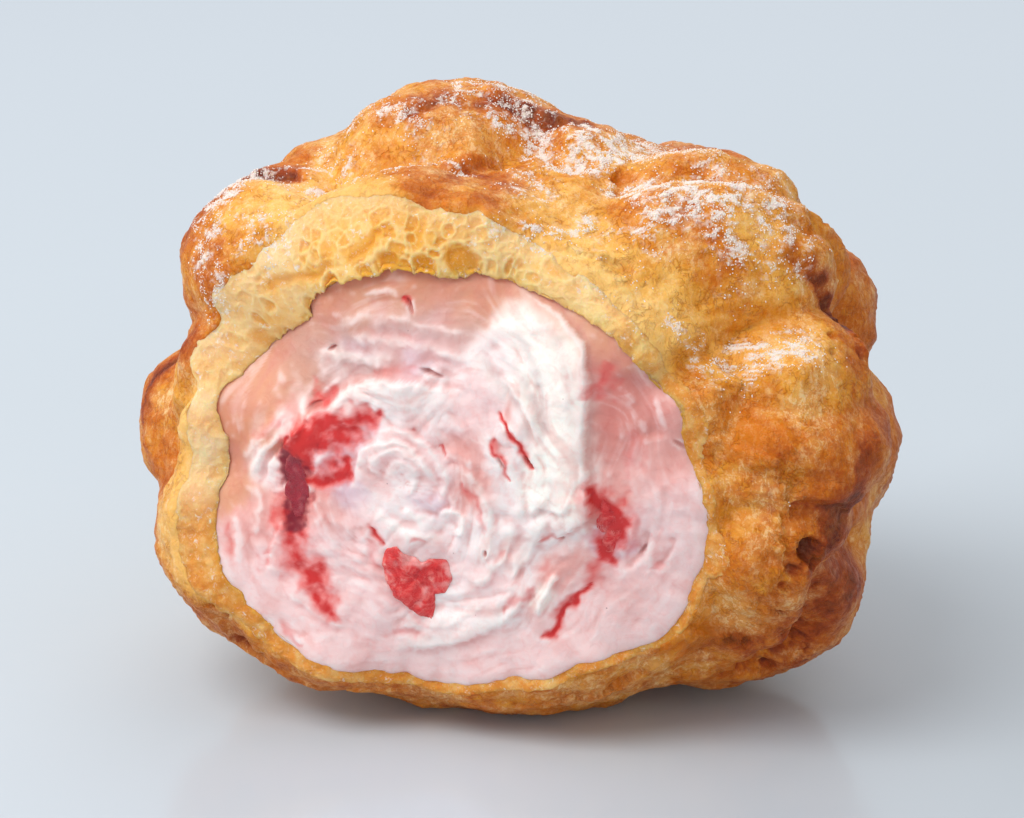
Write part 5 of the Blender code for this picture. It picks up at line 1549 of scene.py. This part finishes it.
realized = put(sieved, "GeometryNodeRealizeInstances", Geometry=placed.outputs[0])
coloured = put(sieved, "GeometryNodeSetMaterial", Geometry=realized.outputs[0], Material=sugar_finish)
sieved.links.new(coloured.outputs[0], end.inputs[0])

sieve = bpy.data.objects.new("sieve", bpy.data.meshes.new("sieve"))
bpy.context.scene.collection.objects.link(sieve)
modifier = sieve.modifiers.new("sieved_sugar", "NODES")
modifier.node_group = sieved
wanted = {
    "Crust": crust,
    "Crumb": crumb,
    "Grain Radius": GRAIN_RADIUS,
    "Density": GRAINS_TO_A_SQUARE_METRE,
    "Seed": 4,
}
for item in sieved.interface.items_tree:
    if item.in_out == "INPUT":
        modifier[item.identifier] = wanted[item.name]
depsgraph = bpy.context.evaluated_depsgraph_get()
sugar_mesh = bpy.data.meshes.new_from_object(sieve.evaluated_get(depsgraph))
sugar_mesh.name = "icing_sugar"
sugar = bpy.data.objects.new("icing_sugar", sugar_mesh)
bpy.context.scene.collection.objects.link(sugar)
bpy.data.objects.remove(sieve)
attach(sugar, "root")


# ---- The table, the lights and the camera ----
# A pale glossy table top in a bright room, under a large soft lamp at the upper left, with weaker ones at
# the left, behind and low in front. The table's colour is painted paler away from the camera, as painted
# light, and greyer near its right, as painted shade.

bpy.ops.mesh.primitive_plane_add(size=6, location=(0, 1.2, 0))
table = bpy.context.object
table.name = "table"
table_finish, tree, shader, where = new_material("pale_table")
spot_on_table = put(tree, "ShaderNodeSeparateXYZ", Vector=where)
# painted light: the table paler and bluer away from the camera
away = spread(tree, spot_on_table.outputs["Y"], -1.1, -0.75)
# painted shade: the table greyer near the bun's right
painted_shade_right = sums(tree, "MULTIPLY_ADD", spot_on_table.outputs["Y"], -0.6, spot_on_table.outputs["X"])
table_colour = blend_colours(tree, away, shade(199, 208, 217), shade(206, 216, 228))
table_colour = blend_colours(tree, spread(tree, painted_shade_right, 0.74, 0.80), table_colour, shade(183, 191, 199))
feed(tree, shader, Base_Color=table_colour, Roughness=0.16, Specular_IOR_Level=0.45)
table.data.materials.append(table_finish)

BUN_MIDDLE = Vector((0, 0, 0.035))


def lamp(name, place, size, watts, colour):
    """A round soft lamp that shines at the bun."""
    light = bpy.data.objects.new(name, bpy.data.lights.new(name, "AREA"))
    light.data.shape = "DISK"
    light.data.size = size
    light.data.energy = watts
    light.data.color = colour
    light.location = place
    light.rotation_euler = (BUN_MIDDLE - Vector(place)).to_track_quat("-Z", "Y").to_euler()
    bpy.context.scene.collection.objects.link(light)


lamp("key", (-0.42, -0.34, 0.80), 0.6, 4.8, (1.0, 0.99, 0.97))
lamp("left", (-0.75, -0.05, 0.50), 0.5, 1.5, (1.0, 0.99, 0.98))
lamp("back", (0.15, 0.60, 0.75), 0.6, 1.5, (0.97, 0.99, 1.0))
lamp("front", (0.1, -0.9, 0.12), 0.5, 1.0, (1.0, 0.98, 0.95))

room = bpy.data.worlds.new("room")
room.use_nodes = True
feed(room.node_tree, room.node_tree.nodes["Background"], Color=(0.96, 0.985, 1.0, 1), Strength=0.65)
bpy.context.scene.world = room
bpy.context.scene.view_settings.view_transform = "Standard"

CAMERA_PLACE = np.array([-1.004, -355.97, 145.57]) * MM
LOOKING_DOWN = 18

camera = bpy.data.objects.new("camera", bpy.data.cameras.new("camera"))
camera.data.lens = 110
camera.data.sensor_width = 36
camera.location = CAMERA_PLACE
camera.rotation_euler = (math.radians(90 - LOOKING_DOWN), 0, 0)
bpy.context.scene.collection.objects.link(camera)
bpy.context.scene.camera = camera
